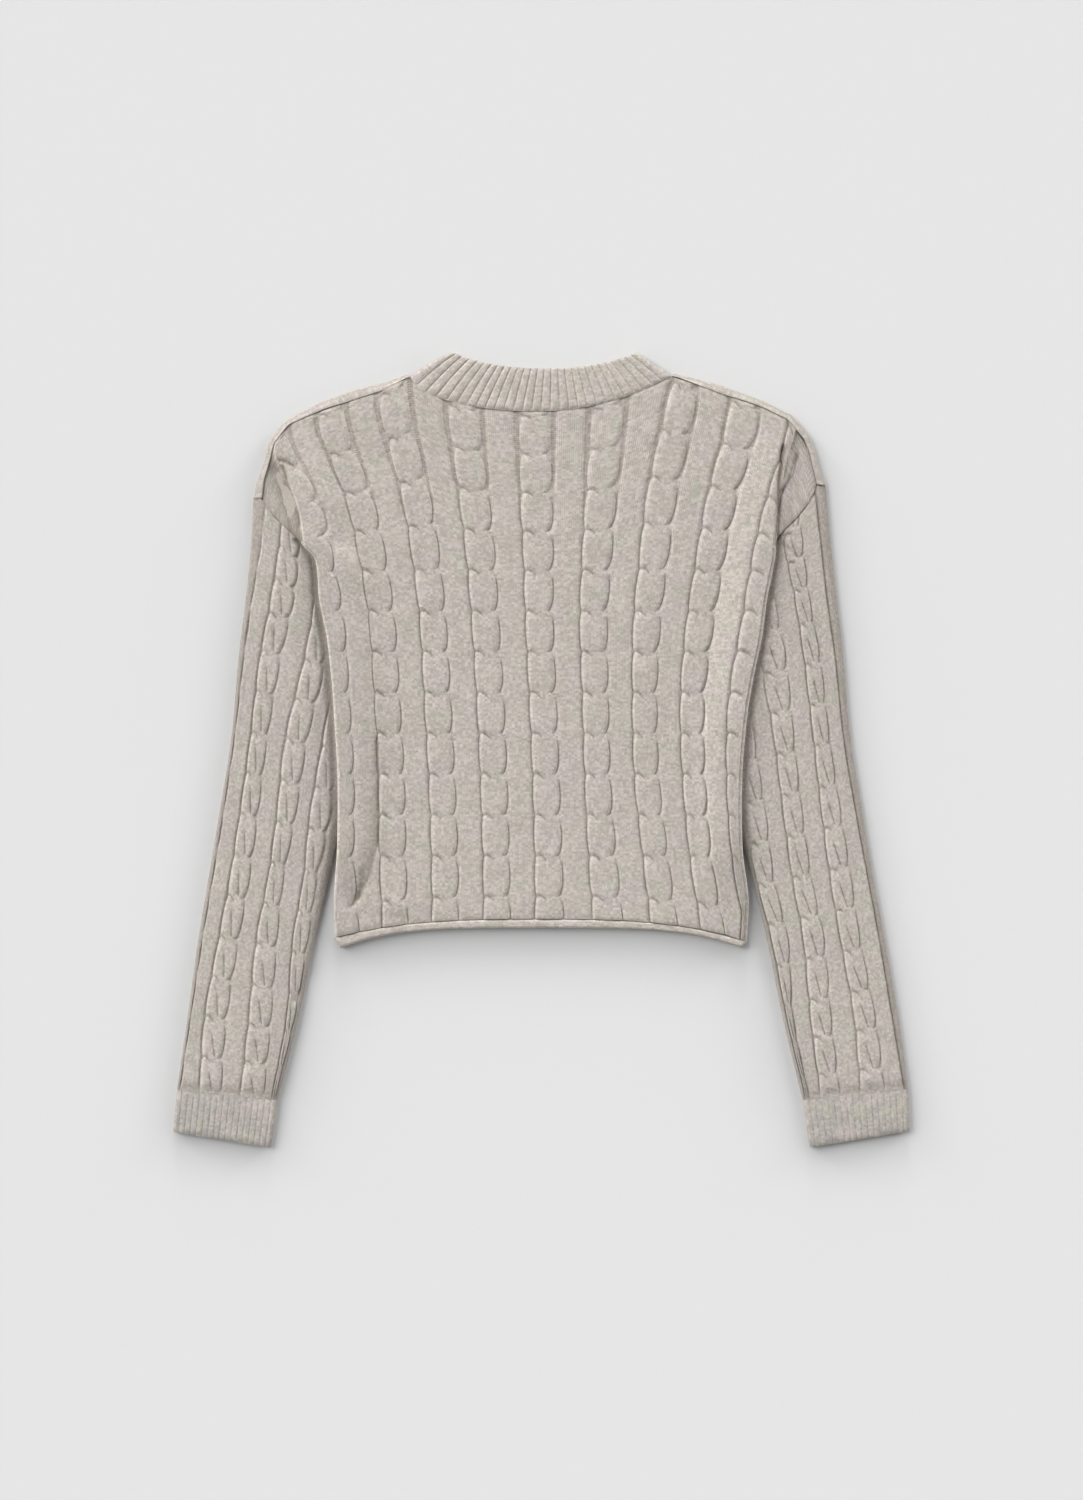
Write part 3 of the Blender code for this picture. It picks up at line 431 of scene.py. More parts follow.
print("a ring of 3 rows by 8 points has", len(grid_faces(np.arange(24).reshape(3, 8), True, False)), "faces")

# %% Numbers at the corners of faces
def write_corners(mesh, ids, skin_quads, wrap, knit, wales, band_end):
    """Write the UV map and the `cell` attribute, which may jump from one band to the next."""
    def corners(values, ends=None):
        values = np.broadcast_to(values, ids.shape).astype(float)
        right = np.concatenate([values[:, 1:], values[:, :1]], axis=1)
        for c, end in (ends or {}).items():
            right[:, c] = end
        if not wrap:
            values, right = values[:, :-1], right[:, :-1]
        return np.stack([values[:-1], right[:-1], right[1:], values[1:]], axis=-1).ravel()

    def level(array):
        return np.broadcast_to(array, ids.shape)

    loops = len(mesh.loops)
    used = skin_quads * 4
    uv = np.full((loops, 2), 0.5, np.float32)
    wale, course = wales
    last_wale = {ids.shape[1] - 1: float(level(wale)[0, -1]) + 1.0}
    uv[:used, 0] = corners(level(wale), last_wale if wrap else None)
    uv[:used, 1] = corners(level(course))
    mesh.uv_layers.new(name="stitches").data.foreach_set("uv", uv.ravel())
    cell = np.zeros((loops, 3), np.float32)
    cell[:, 0] = 0.5
    cell[:used, 0] = corners(level(knit["across"]), band_end)
    cell[:used, 1] = corners(level(knit["turn"]))
    kind = level(knit.get("cable", 0.0)) - level(knit.get("rib", 0.0))
    cell[:used, 2] = corners(kind, {c: kind[:, c] for c in band_end})
    mesh.attributes.new("cell", "FLOAT_VECTOR", "CORNER").data.foreach_set("vector", cell.ravel())


print("each point of a shell knows:", ", ".join(KNIT))

# %% Build a shell
SMOOTH_BELOW = 0.5  # height, in millimetres, up to which the skin stays smooth and clear of the floor


def shell_faces(skin_ids, lining_ids, rows, cols, wrap):
    """Faces of the skin, the lining and the rim between them, and how many are the skin's."""
    faces = grid_faces(skin_ids, wrap, False).tolist()
    skin_quads = len(faces)
    faces += grid_faces(lining_ids, wrap, True).tolist()
    if wrap:
        faces += zip_rim(skin_ids[0], lining_ids[0], cols)
        faces += [face[::-1] for face in zip_rim(skin_ids[-1], lining_ids[-1], cols)]
        return faces, skin_quads
    fine = border(range(skin_ids.shape[0]), range(skin_ids.shape[1]))
    coarse = border(rows, cols)
    place = {at: k for k, at in enumerate(fine)}
    row_of = {r: k for k, r in enumerate(rows)}
    col_of = {c: k for k, c in enumerate(cols)}
    faces += zip_rim([int(skin_ids[at]) for at in fine],
                     [int(lining_ids[row_of[r], col_of[c]]) for r, c in coarse],
                     [place[at] for at in coarse])
    return faces, skin_quads


def face_outwards(mesh):
    work = bmesh.new()
    work.from_mesh(mesh)
    bmesh.ops.recalc_face_normals(work, faces=work.faces)
    work.to_mesh(mesh)
    work.free()


def make_shell(name, skin, lining, rows, cols, wrap, knit, wales, band_end):
    """A closed wall from a skin grid and a coarser lining grid at some of its rows and columns.

    knit maps attribute names to skin-sized arrays, wales is the (wale, course) pair of arrays, and
    band_end gives, for each column that is a band's last, the value of `across` at the band's far side.
    """
    skin_ids = np.arange(skin.shape[0] * skin.shape[1]).reshape(skin.shape[:2])
    lining_ids = skin_ids.size + np.arange(lining.shape[0] * lining.shape[1]).reshape(lining.shape[:2])
    faces, skin_quads = shell_faces(skin_ids, lining_ids, rows, cols, wrap)
    points = np.concatenate([skin.reshape(-1, 3), lining.reshape(-1, 3)]) * MM
    mesh = bpy.data.meshes.new(name)
    mesh.from_pydata(points.tolist(), [], [[int(i) for i in face] for face in faces])
    for key in KNIT:
        layer = mesh.attributes.new(key, "FLOAT", "POINT")
        values = np.zeros(len(points), np.float32)
        default = np.clip(skin[:, :, 2] - SMOOTH_BELOW, 0, 1) if key == "skin" else 0.0
        values[:skin_ids.size] = np.broadcast_to(knit.get(key, default), skin_ids.shape).ravel()
        layer.data.foreach_set("value", values)
    write_corners(mesh, skin_ids, skin_quads, wrap, knit, wales, band_end)
    face_outwards(mesh)
    mesh.shade_smooth()
    piece = bpy.data.objects.new(name, mesh)
    bpy.context.scene.collection.objects.link(piece)
    return piece


print("a shell is smooth up to", SMOOTH_BELOW, "mm above the floor")

# %% [markdown]
# ## Numbers in a node tree
#
# Relief is arithmetic: a rope's height is a product of a few curves. Wiring each multiplication by hand
# would bury the idea, so `Wire` lets a sum be written as a sum and places the Math nodes. It works in a
# Geometry Nodes tree and in a shader tree alike.

# %% Wires
class Wire:
    """One number on its way through a node tree."""

    def __init__(self, socket):
        self.socket = socket
        self.tree = socket.id_data

    def math(self, operation, *others, clamp=False):
        return math_node(self.tree, operation, (self,) + others, clamp)

    def __add__(self, other):
        return self.math("ADD", other)

    def __sub__(self, other):
        return self.math("SUBTRACT", other)

    def __mul__(self, other):
        return self.math("MULTIPLY", other)

    def __truediv__(self, other):
        return self.math("DIVIDE", other)

    def __rsub__(self, other):
        return math_node(self.tree, "SUBTRACT", (other, self))

    __radd__ = __add__
    __rmul__ = __mul__

    def squared(self):
        return self * self

    def clamped(self):
        return self.math("ADD", 0.0, clamp=True)

    def fraction(self):
        return self.math("FRACT")

    def floored(self):
        return self.math("FLOOR")

    def absolute(self):
        return self.math("ABSOLUTE")

    def power(self, exponent):
        return self.math("POWER", exponent)

    def eased(self):
        """0 below 0, 1 above 1, smooth between."""
        s = self.clamped()
        return s * s * (3 - 2 * s)

    def bell(self, width):
        """1 at 0, falling off over width on either side."""
        return math_node(self.tree, "EXPONENT", (self.math("DIVIDE", width).squared() * -1,))

    def domed(self, power=2.5):
        """Rises steeply from 0 and settles at 1."""
        return 1 - (1 - self.clamped()).power(power)


def math_node(tree, operation, values, clamp=False):
    node = tree.nodes.new("ShaderNodeMath")
    node.operation = operation
    node.use_clamp = clamp
    for slot, value in zip(node.inputs, values):
        if isinstance(value, Wire):
            tree.links.new(value.socket, slot)
        else:
            slot.default_value = value
    return Wire(node.outputs[0])


def mix_wires(first, second, share):
    return first + (second - first) * share


print("a wire can be:", ", ".join(name for name in vars(Wire) if not name.startswith("_")))

# %% [markdown]
# ## One tree that raises the knit
#
# A rope cable is two strands that swap sides every so many courses. The front strand runs from the upper
# left to the lower right; the other slips under it and comes out on the left with a rounded nose. Seen
# from above, that is a string of pillows: nearly straight on the left, scalloped on the right, with a
# short slanting groove at each crossing. A plain rib is a flat band with rounded edges, and it takes back
# what the scalloped rope beside it gives away.
#
# Modelling twelve crossings on each of nine ropes by hand would be slow and uneven. The rule is short,
# so a Geometry Nodes tree applies it to every point of every piece. The same functions serve the materials
# later, so the shadow painted into a groove always lies where the groove is.

# %% The shapes of rope and rib
GROOVE = 0.012  # half the width of a closed groove, as a share of its band
ROPE_FLANKS = (0.17, 0.13)  # widths of the rounded left and right edges
RIB_FLANKS = (0.15, 0.13)
ARCHES = (0.070, 0.205)  # how far a rope's left and right edges are drawn in at a crossing
OPEN = 0.060  # slack at which a groove stands fully open
FILL = (0.40, 0.70)  # how long below a crossing the right groove is filled, and how much
NOSE = 0.045  # width of the slanting groove, in crossings
NOSE_REACH = (0.36, 0.52)  # where across the rope that groove fades out
FAR_REACH = (0.10, 0.26)  # the same for the strand that slips under
NOSE_DEPTHS = (0.50, 0.24, 0.25, 0.12)  # the groove, the cloth behind it, and both on the far side
CROWN = 0.40  # how much lower than its middle a pillow's sides are
PART_WIDTH = 0.055  # width of the gap between two slack strands
PART_DEPTH = 0.55
RIB_LEVEL = 0.70  # height of a rib as a share of a rope's
GROUND_RISE = 0.30  # height of the purl ground in an open groove


def drawn_in(turn):
    """0 where a rope's edge bulges most and 1 at each crossing, like a row of arches."""
    place = turn.fraction() * 2 - 1
    return 1 - (1 - place.squared()).power(0.6)


def filled(turn):
    """How full the right-hand groove is: most just below a crossing, not at all above one."""
    return (1 - (turn.fraction() / FILL[0]).eased()) * FILL[1]


def rope_edges(across, turn, slack):
    """Distances in from a rope's two edges, and how far each edge is drawn in."""
    arch = drawn_in(turn)
    left_in, right_in = arch * (slack + ARCHES[0]), arch * ARCHES[1]
    return across - slack - GROOVE - left_in, 1 - GROOVE - slack - across - right_in, left_in, right_in


def nose(across, below, first, last):
    """How deep a point is in the groove of an emerging strand, and how far behind it."""
    past = below - ((across - 0.12).squared() * 1.4 - 0.035)
    fade = 1 - ((across - first) / (last - first)).eased()
    return past.bell(NOSE) * fade, (past / 0.02).eased() * (1 - (past / 0.24).eased()) * fade


def parting(across, turn):
    """The thin gap between two slack strands, slanting down to the next crossing."""
    place = turn.fraction()
    length = ((place - 0.22) / 0.25).eased() * (1 - ((place - 0.93) / 0.06).eased())
    return (across - 0.28 - place * 0.34).bell(PART_WIDTH) * length


def level_with(height, floor):
    """Raise whatever lies lower than the floor part of the way to it."""
    return height * (1 - floor) + floor


print("a closed groove takes", 2 * GROOVE, "of its band; a slack one is", OPEN, "wider on each side")

# %% The shapes of rope and rib, put together
def crossing_relief(across, turn):
    """1 on a rope, less in the slanting grooves where one strand comes out from under the other."""
    below = (turn + 0.5).fraction() - 0.5
    groove, behind = nose(across, below, *NOSE_REACH)
    far_groove, far_behind = nose(1 - across, below * -1, *FAR_REACH)
    relief = 1 - groove * NOSE_DEPTHS[0] - behind * NOSE_DEPTHS[1]
    return relief - far_groove * NOSE_DEPTHS[2] - far_behind * NOSE_DEPTHS[3]


def rope_form(across, turn, slack, parted):
    """Height of a rope's band: 1 on its pillows, 0 in its grooves, and the next ribs' edges."""
    left, right, left_in, right_in = rope_edges(across, turn, slack)
    follow = 1 - (slack / OPEN).clamped()
    fill = filled(turn) * follow
    straight_edge = ((1 - GROOVE - slack - across) / ROPE_FLANKS[1]).domed()
    arched = mix_wires((right / ROPE_FLANKS[1]).domed(), straight_edge, (1 - follow) * 0.12)
    body = (left / ROPE_FLANKS[0]).domed() * level_with(arched, fill)
    crown = 1.0 - (across - 0.5).squared() * CROWN
    beyond_left = (left_in - GROOVE - slack - across) / (left_in + RIB_FLANKS[1])
    beyond_right = (across - 1 - GROOVE - slack + right_in * follow) / (right_in * follow + RIB_FLANKS[0])
    pocket = level_with(beyond_right.domed(), fill) * (beyond_right / 0.02 + 1).clamped()
    pockets = beyond_left.domed() + pocket * (1 - (body / 0.02).clamped())
    relief = crossing_relief(across, turn) - parting(across, turn) * parted * PART_DEPTH
    return level_with(body * crown * relief + pockets * RIB_LEVEL, (1 - follow) * GROUND_RISE)


def rib_form(across, turn, slack):
    """Height of a plain rib, flat with rounded edges that follow the ropes beside it."""
    arch = drawn_in(turn)
    follow = 1 - (slack / OPEN).clamped()
    left_in, right_in = arch * ARCHES[1] * follow, arch * (slack + ARCHES[0])
    left = ((across - GROOVE - slack + left_in) / (left_in + RIB_FLANKS[0])).domed()
    right = ((1 - GROOVE - slack - across + right_in) / (right_in + RIB_FLANKS[1])).domed()
    left = level_with(left, filled(turn) * follow * (1 - across))
    return level_with(left * right, (1 - follow) * GROUND_RISE)


def fine_form(across):
    """Height of a narrow rib between two thin grooves."""
    return 1 - ((across.fraction() - 0.5).absolute() * 2).power(4.5)


print("a rib stands", RIB_LEVEL, "as high as a rope")

# %% [markdown]
# ### The tree
#
# The tree reads a point's attributes, works out the height of the knit there, lifts the point straight up
# by it, and pushes it in or out a little along its normal for the yarn's roughness. Lifting along the
# normal alone would shift the grooves sideways on the folded edges. Its inputs are the sizes that differ
# from piece to piece, a seed for the unevenness of hand-knitting, and the material.

# %% Geometry Nodes: what the tree reads
SIZES = (("Cable Height", 0.0021), ("Fine Rib Height", 0.0010), ("Unevenness", 0.0004),
         ("Unevenness Scale", 28.0), ("Roughness", 0.0003), ("Roughness Scale", 330.0))
HEIGHT_VARIES = 0.35  # how much the unevenness changes a rope's height, as a share of it


def seeded_noise(tree, source, scale):
    """Noise from -1 to 1 that depends on the tree's seed."""
    node = tree.nodes.new("ShaderNodeTexNoise")
    node.noise_dimensions = "4D"
    node.inputs["Detail"].default_value = 1.5
    tree.links.new(source.outputs["Seed"], node.inputs["W"])
    tree.links.new(source.outputs[scale], node.inputs["Scale"])
    return (Wire(node.outputs[0]) - 0.5) * 2.0


def knit_sockets(tree):
    face = tree.interface
    face.new_socket(name="Geometry", in_out="INPUT", socket_type="NodeSocketGeometry")
    face.new_socket(name="Geometry", in_out="OUTPUT", socket_type="NodeSocketGeometry")
    for label, value in SIZES:
        face.new_socket(name=label, in_out="INPUT", socket_type="NodeSocketFloat").default_value = value
    face.new_socket(name="Seed", in_out="INPUT", socket_type="NodeSocketFloat").default_value = 3.0
    face.new_socket(name="Material", in_out="INPUT", socket_type="NodeSocketMaterial")


def knit_facts(tree):
    """The shell's attributes as wires, by name."""
    fact = {}
    for key in KNIT:
        reader = tree.nodes.new("GeometryNodeInputNamedAttribute")
        reader.data_type = "FLOAT"
        reader.inputs["Name"].default_value = key
        fact[key] = Wire(reader.outputs["Attribute"])
    return fact


print("sizes of the tree:", ", ".join(label for label, _ in SIZES))

# %% Geometry Nodes: raise the knit
def knit_height(tree, source, fact):
    """Height of the knit, and the roughness of its yarn, at each point."""
    size = {label: Wire(source.outputs[label]) for label, _ in SIZES}
    uneven = seeded_noise(tree, source, "Unevenness Scale")
    rough = seeded_noise(tree, source, "Roughness Scale") * size["Roughness"] * fact["skin"]
    rope = rope_form(fact["across"], fact["turn"], fact["slack"], fact["parted"])
    rib = rib_form(fact["across"], fact["turn"], fact["slack"]) * RIB_LEVEL
    fine = fine_form(fact["across"])
    knit = (fact["cable"] * rope + fact["rib"] * rib) * size["Cable Height"]
    knit = knit + fact["fine"] * fine * size["Fine Rib Height"]
    raised = (fact["cable"] + fact["rib"] + fact["fine"]).clamped()
    return knit * (1 + uneven * HEIGHT_VARIES) + uneven * size["Unevenness"] * raised, rough


def knit_tree():
    """Tree: skin points rise by the height of the knit; the seed shifts the hand-made unevenness."""
    tree = bpy.data.node_groups.new("raise_the_knit", "GeometryNodeTree")
    knit_sockets(tree)
    nodes, links = tree.nodes, tree.links
    source = nodes.new("NodeGroupInput")
    result = nodes.new("NodeGroupOutput")
    height, rough = knit_height(tree, source, knit_facts(tree))
    upward = nodes.new("ShaderNodeCombineXYZ")
    links.new(height.socket, upward.inputs["Z"])
    outward = nodes.new("ShaderNodeVectorMath")
    outward.operation = "SCALE"
    links.new(nodes.new("GeometryNodeInputNormal").outputs["Normal"], outward.inputs[0])
    links.new(rough.socket, outward.inputs["Scale"])
    offset = nodes.new("ShaderNodeVectorMath")
    offset.operation = "ADD"
    links.new(upward.outputs["Vector"], offset.inputs[0])
    links.new(outward.outputs["Vector"], offset.inputs[1])
    move = nodes.new("GeometryNodeSetPosition")
    links.new(source.outputs["Geometry"], move.inputs["Geometry"])
    links.new(offset.outputs["Vector"], move.inputs["Offset"])
    whole = nodes.new("GeometryNodeRealizeInstances")
    links.new(move.outputs["Geometry"], whole.inputs["Geometry"])
    dye = nodes.new("GeometryNodeSetMaterial")
    links.new(whole.outputs["Geometry"], dye.inputs["Geometry"])
    links.new(source.outputs["Material"], dye.inputs["Material"])
    links.new(dye.outputs["Geometry"], result.inputs["Geometry"])
    return tree


KNIT_TREE = knit_tree()
print("relief tree:", len(KNIT_TREE.nodes), "nodes")

# %% Run a tree on a piece
SHARP_ANGLE = 72  # degrees


def apply_tree(piece, tree, **values):
    """Run a Geometry Nodes tree on a piece and keep the result as its plain mesh."""
    modifier = piece.modifiers.new(tree.name, "NODES")
    modifier.node_group = tree
    for item in tree.interface.items_tree:
        key = item.name.lower().replace(" ", "_")
        if item.item_type == "SOCKET" and item.in_out == "INPUT" and key in values:
            modifier[item.identifier] = values[key]
    piece.update_tag()
    evaluated = piece.evaluated_get(bpy.context.evaluated_depsgraph_get())
    mesh = bpy.data.meshes.new_from_object(evaluated)
    piece.modifiers.remove(modifier)
    piece.data = mesh
    mesh.shade_smooth()
    mesh.set_sharp_from_angle(angle=math.radians(SHARP_ANGLE))


print("edges sharper than", SHARP_ANGLE, "degrees stay sharp")

# %% [markdown]
# ## Yarn and stitches
#
# The yarn is a greige heather: pale cream fibres spun with warm grey ones, so the colour changes from
# stitch to stitch, in streaks along each course and in soft clouds. The surface is matt and slightly
# hairy.
#
# The back alone has nearly forty thousand stitches, far too many to model, so they are drawn in the
# material: the UV map counts wales across and courses up, and in each unit square two slanting legs make
# a V. One shader group gives the colour, the height of the stitches and the gaps between them; every
# material uses it with its own values.

# %% Shader helpers
def shader_group(name, inputs, outputs):
    """An empty shader node group with named sockets."""
    group = bpy.data.node_groups.new(name, "ShaderNodeTree")
    for label, kind, value in inputs:
        made = group.interface.new_socket(name=label, in_out="INPUT", socket_type="NodeSocket" + kind)
        made.default_value = value
    for label, kind in outputs:
        group.interface.new_socket(name=label, in_out="OUTPUT", socket_type="NodeSocket" + kind)
    source = group.nodes.new("NodeGroupInput")
    result = group.nodes.new("NodeGroupOutput")
    return group, source, result


def noise(tree, coordinates, scale, detail):
    """A noise texture's value, 0 to 1, over the given coordinates."""
    node = tree.nodes.new("ShaderNodeTexNoise")
    tree.links.new(coordinates, node.inputs["Vector"])
    node.inputs["Scale"].default_value = scale
    node.inputs["Detail"].default_value = detail
    return Wire(node.outputs[0])


def vector(tree, x, y):
    """The vector (x, y, 0)."""
    node = tree.nodes.new("ShaderNodeCombineXYZ")
    tree.links.new(x.socket, node.inputs["X"])
    tree.links.new(y.socket, node.inputs["Y"])
    return node.outputs["Vector"]


def blend_colour(tree, share, first, second, how="MIX"):
    """Mix two colours; each is a socket or a plain colour."""
    node = tree.nodes.new("ShaderNodeMix")
    node.data_type = "RGBA"
    node.blend_type = how
    tree.links.new(share.socket, node.inputs["Factor"])
    for label, colour in (("A", first), ("B", second)):
        slot = [s for s in node.inputs if s.name == label and s.type == "RGBA"][0]
        if isinstance(colour, bpy.types.NodeSocket):
            tree.links.new(colour, slot)
        else:
            slot.default_value = colour
    return [s for s in node.outputs if s.type == "RGBA"][0]


def split_vector(tree, socket):
    """The three numbers of a vector, as wires."""
    node = tree.nodes.new("ShaderNodeSeparateXYZ")
    tree.links.new(socket, node.inputs["Vector"])
    return [Wire(node.outputs[axis]) for axis in "XYZ"]


def stitch_count(tree):
    """How many wales across and courses up a point lies, from the UV map."""
    uv = tree.nodes.new("ShaderNodeUVMap")
    uv.uv_map = "stitches"
    return split_vector(tree, uv.outputs["UV"])[:2]


print("shader helpers:", ", ".join(helper.__name__ for helper in (
    shader_group, noise, vector, blend_colour, split_vector, stitch_count)))

# %% Shader group: heather yarn knitted in stockinette
GREIGE = (0.5, 0.45, 0.4, 1)
YARN_INPUTS = [(label, "Color", GREIGE) for label in ("Yarn", "Cream", "Smoke", "Rose", "Moss")]
YARN_INPUTS += [("Flecks", "Float", 0.5), ("Clouds", "Float", 0.5)]
YARN_OUTPUTS = (("Color", "Color"), ("Height", "Float"), ("Gap", "Float"))
LEG_SLANT = 1.2  # how many courses a stitch's leg climbs for each wale


def yarn_tone(group, wale, level, row, place):
    """How much lighter or darker the yarn is: by stitch, in streaks, in fibres and in specks."""
    single = group.nodes.new("ShaderNodeTexWhiteNoise")
    single.noise_dimensions = "2D"
    group.links.new(vector(group, wale.floored(), row), single.inputs["Vector"])
    streak = noise(group, vector(group, wale * 0.28, row * 5.3), 1.0, 1.0)
    fibre = noise(group, vector(group, wale * 9.0, level * 1.3), 1.0, 1.0)
    speck = noise(group, place, 400.0, 2.0)
    tone = (Wire(single.outputs["Value"]) - 0.5) * 0.9 + (streak - 0.5) * 0.7
    return tone + (fibre - 0.5) * 1.2 + (speck - 0.5) * 1.1


def stitches_group():
    """The yarn's colour, and the height of its V-shaped stitches with the gaps between them."""
    group, source, result = shader_group("heather_stitches", YARN_INPUTS, YARN_OUTPUTS)
    wale, course = stitch_count(group)
    aside = (wale.fraction() - 0.5).absolute()
    leg = 1 - ((aside - 0.25) * 4).squared()
    level = course + aside * LEG_SLANT
    row = level.floored()
    along = (level.fraction() - 0.5) * 2
    group.links.new((leg * (1 - along.squared() * 0.6)).socket, result.inputs["Height"])
    group.links.new((1 - leg).power(3.0).socket, result.inputs["Gap"])

    place = group.nodes.new("ShaderNodeTexCoord").outputs["Object"]
    clouds, flecks = Wire(source.outputs["Clouds"]), Wire(source.outputs["Flecks"])
    rosy = ((noise(group, place, 46.0, 2.5) - 0.50) / 0.12).eased() * clouds
    mossy = ((0.49 - noise(group, place, 63.0, 2.5)) / 0.12).eased() * clouds
    colour = blend_colour(group, rosy, source.outputs["Yarn"], source.outputs["Rose"])
    colour = blend_colour(group, mossy, colour, source.outputs["Moss"])
    tone = yarn_tone(group, wale, level, row, place)
    colour = blend_colour(group, (tone * flecks).clamped(), colour, source.outputs["Cream"])
    colour = blend_colour(group, (tone * flecks * -1).clamped(), colour, source.outputs["Smoke"])
    group.links.new(colour, result.inputs["Color"])
    return group


STITCHES = stitches_group()
print("yarn group:", len(STITCHES.nodes), "nodes, inputs", ", ".join(label for label, _, _ in YARN_INPUTS))

# %% [markdown]
# ## The knit materials
#
# All three are matt with a little sheen from loose fibres. Cable knit is for the body and the sleeves,
# rib knit for the neckband and the hem, and cuff knit is the same in a darker, greyer yarn.
#
# Shade is painted into the yarn's colour: in the purl ground of an open groove, which shows as a ladder of
# little bars, between the legs of each stitch, in the line where a rope meets its groove, on steep edges and
# folds, in tight seams and deep creases. The render finds part of that shadow by itself, but the real
# grooves are undercut and hairy, so the painted shade deepens it.

# %% Yarn colours
YARN = (0.530, 0.480, 0.430, 1)
CUFF_YARN = (0.460, 0.425, 0.398, 1)
CREAM = (0.860, 0.810, 0.745, 1)
SMOKE = (0.230, 0.205, 0.185, 1)
ROSE = (0.540, 0.475, 0.455, 1)
MOSS = (0.500, 0.480, 0.405, 1)
# Colour of the painted shade, multiplied into the yarn where shade is painted.
PAINTED_SHADE = (0.40, 0.36, 0.32, 1)
GAP_SHADE = 0.12  # shade painted between the legs of a stitch
STEEP_SHADE = 0.40  # shade painted where the cloth stands steep, as where it turns over an edge
print("yarn colour:", YARN[:3], "and", CUFF_YARN[:3], "at the cuffs")

# %% Shades of the cable knit
LINE_WIDTHS = (0.016, 0.022)  # of the shadow lines along a rope's left and right edges
GROUND_EDGE = (0.02, 0.03)  # how softly the purl ground ends, and the slack at which it shows


def shadow_lines(across, turn, slack, parted, is_rope):
    """Thin shadow painted into the colour where a rope meets its grooves, where it crosses itself and where
    its strands part.
    """
    left, right, _, _ = rope_edges(across, turn, slack)
    edges = (left + GROOVE).bell(LINE_WIDTHS[0])
    edges = edges + (right + GROOVE).bell(LINE_WIDTHS[1]) * (1 - filled(turn) * 1.2)
    below = (turn + 0.5).fraction() - 0.5
    groove, _ = nose(across, below, 0.38, 0.50)
    # Painted shadow in the slanting groove at each crossing.
    crease = groove.power(2.0) * ((across - 0.03) / 0.20).eased()
    line = edges * (1 - (slack / OPEN) * 0.6) * (1 - parted * 0.3) + crease * 0.9
    return (line + parting(across, turn).power(2.0) * parted * 1.5) * is_rope


def purl_ground(across, slack, purl, is_band):
    """1 where the purl ground shows: in an open groove, or where the knit is purl all over."""
    edge = (across - slack - GROOVE).math("MINIMUM", 1 - GROOVE - slack - across)
    opened = (1 - (edge / GROUND_EDGE[0]).eased()) * is_band * (slack / GROUND_EDGE[1]).eased()
    return opened.math("MAXIMUM", purl)


def steepness(tree):
    """0 on flat cloth, 1 where it stands on edge."""
    normal = tree.nodes.new("ShaderNodeTexCoord").outputs["Normal"]
    return ((0.55 - split_vector(tree, normal)[2].absolute()) / 0.45).eased()


print("shadow lines are", LINE_WIDTHS, "of a band wide")

# %% Knit materials
def matt_shader(material):
    material.use_nodes = True
    shader = material.node_tree.nodes["Principled BSDF"]
    for label, value in (("Roughness", 0.92), ("Specular IOR Level", 0.25), ("Sheen Weight", 0.15),
                         ("Sheen Roughness", 0.6)):
        shader.inputs[label].default_value = value
    return shader


def attribute_node(tree, name):
    node = tree.nodes.new("ShaderNodeAttribute")
    node.attribute_name = name
    return node


def knit_material(name, yarn_colour, flecks, clouds, groove_shade, line_shade, stitch_depth):
    material = bpy.data.materials.new(name)
    shader = matt_shader(material)
    tree = material.node_tree
    yarn = tree.nodes.new("ShaderNodeGroup")
    yarn.node_tree = STITCHES
    for label, value in (("Yarn", yarn_colour), ("Cream", CREAM), ("Smoke", SMOKE), ("Rose", ROSE),
                         ("Moss", MOSS), ("Flecks", flecks), ("Clouds", clouds)):
        yarn.inputs[label].default_value = value
    across, turn, kind = split_vector(tree, attribute_node(tree, "cell").outputs["Vector"])
    slack, parted, purl, seam = [Wire(attribute_node(tree, key).outputs["Fac"])
                                 for key in ("slack", "parted", "purl", "seam")]
    is_rope, is_rib = kind.clamped(), (kind * -1).clamped()
    ground = purl_ground(across, slack, purl, is_rope + is_rib)
    rung = (stitch_count(tree)[1].fraction() - 0.5).absolute() * 2
    # Painted shade in the purl ground, darker between its little bars.
    ladder_shade = ground * (0.40 + rung * 0.60) + purl * 0.25
    line = shadow_lines(across, turn, slack, parted, is_rope)
    # Shade painted into the yarn's colour: purl ground, gaps between stitch legs, shadow lines, steep edges,
    # and the `seam` attribute along seams, creases and folds.
    shade = ladder_shade * groove_shade + Wire(yarn.outputs["Gap"]) * GAP_SHADE + line * line_shade
    shade = (shade + steepness(tree) * STEEP_SHADE + seam).clamped()
    colour = blend_colour(tree, shade, yarn.outputs["Color"], PAINTED_SHADE, "MULTIPLY")
    tree.links.new(colour, shader.inputs["Base Color"])
    form = rope_form(across, turn, slack, parted) * is_rope
    form = form + rib_form(across, turn, slack) * is_rib * RIB_LEVEL
    relief = Wire(yarn.outputs["Height"]) * (1 - ground) + rung * ground + form * 1.6
    bump = tree.nodes.new("ShaderNodeBump")
    bump.inputs["Strength"].default_value = 1.0
    bump.inputs["Distance"].default_value = stitch_depth
    tree.links.new(relief.socket, bump.inputs["Height"])
    tree.links.new(bump.outputs["Normal"], shader.inputs["Normal"])
    print(name, len(tree.nodes), "nodes")
    return material


CABLE_KNIT = knit_material("cable_knit_yarn", YARN, flecks=0.56, clouds=0.60, groove_shade=0.40,
                           line_shade=0.42, stitch_depth=0.00028)
RIB_KNIT = knit_material("rib_knit_yarn", YARN, flecks=0.56, clouds=0.60, groove_shade=0.0,
                         line_shade=0.0, stitch_depth=0.00024)
CUFF_KNIT = knit_material("cuff_knit_yarn", CUFF_YARN, flecks=0.50, clouds=1.0, groove_shade=0.0,
                          line_shade=0.0, stitch_depth=0.00024)
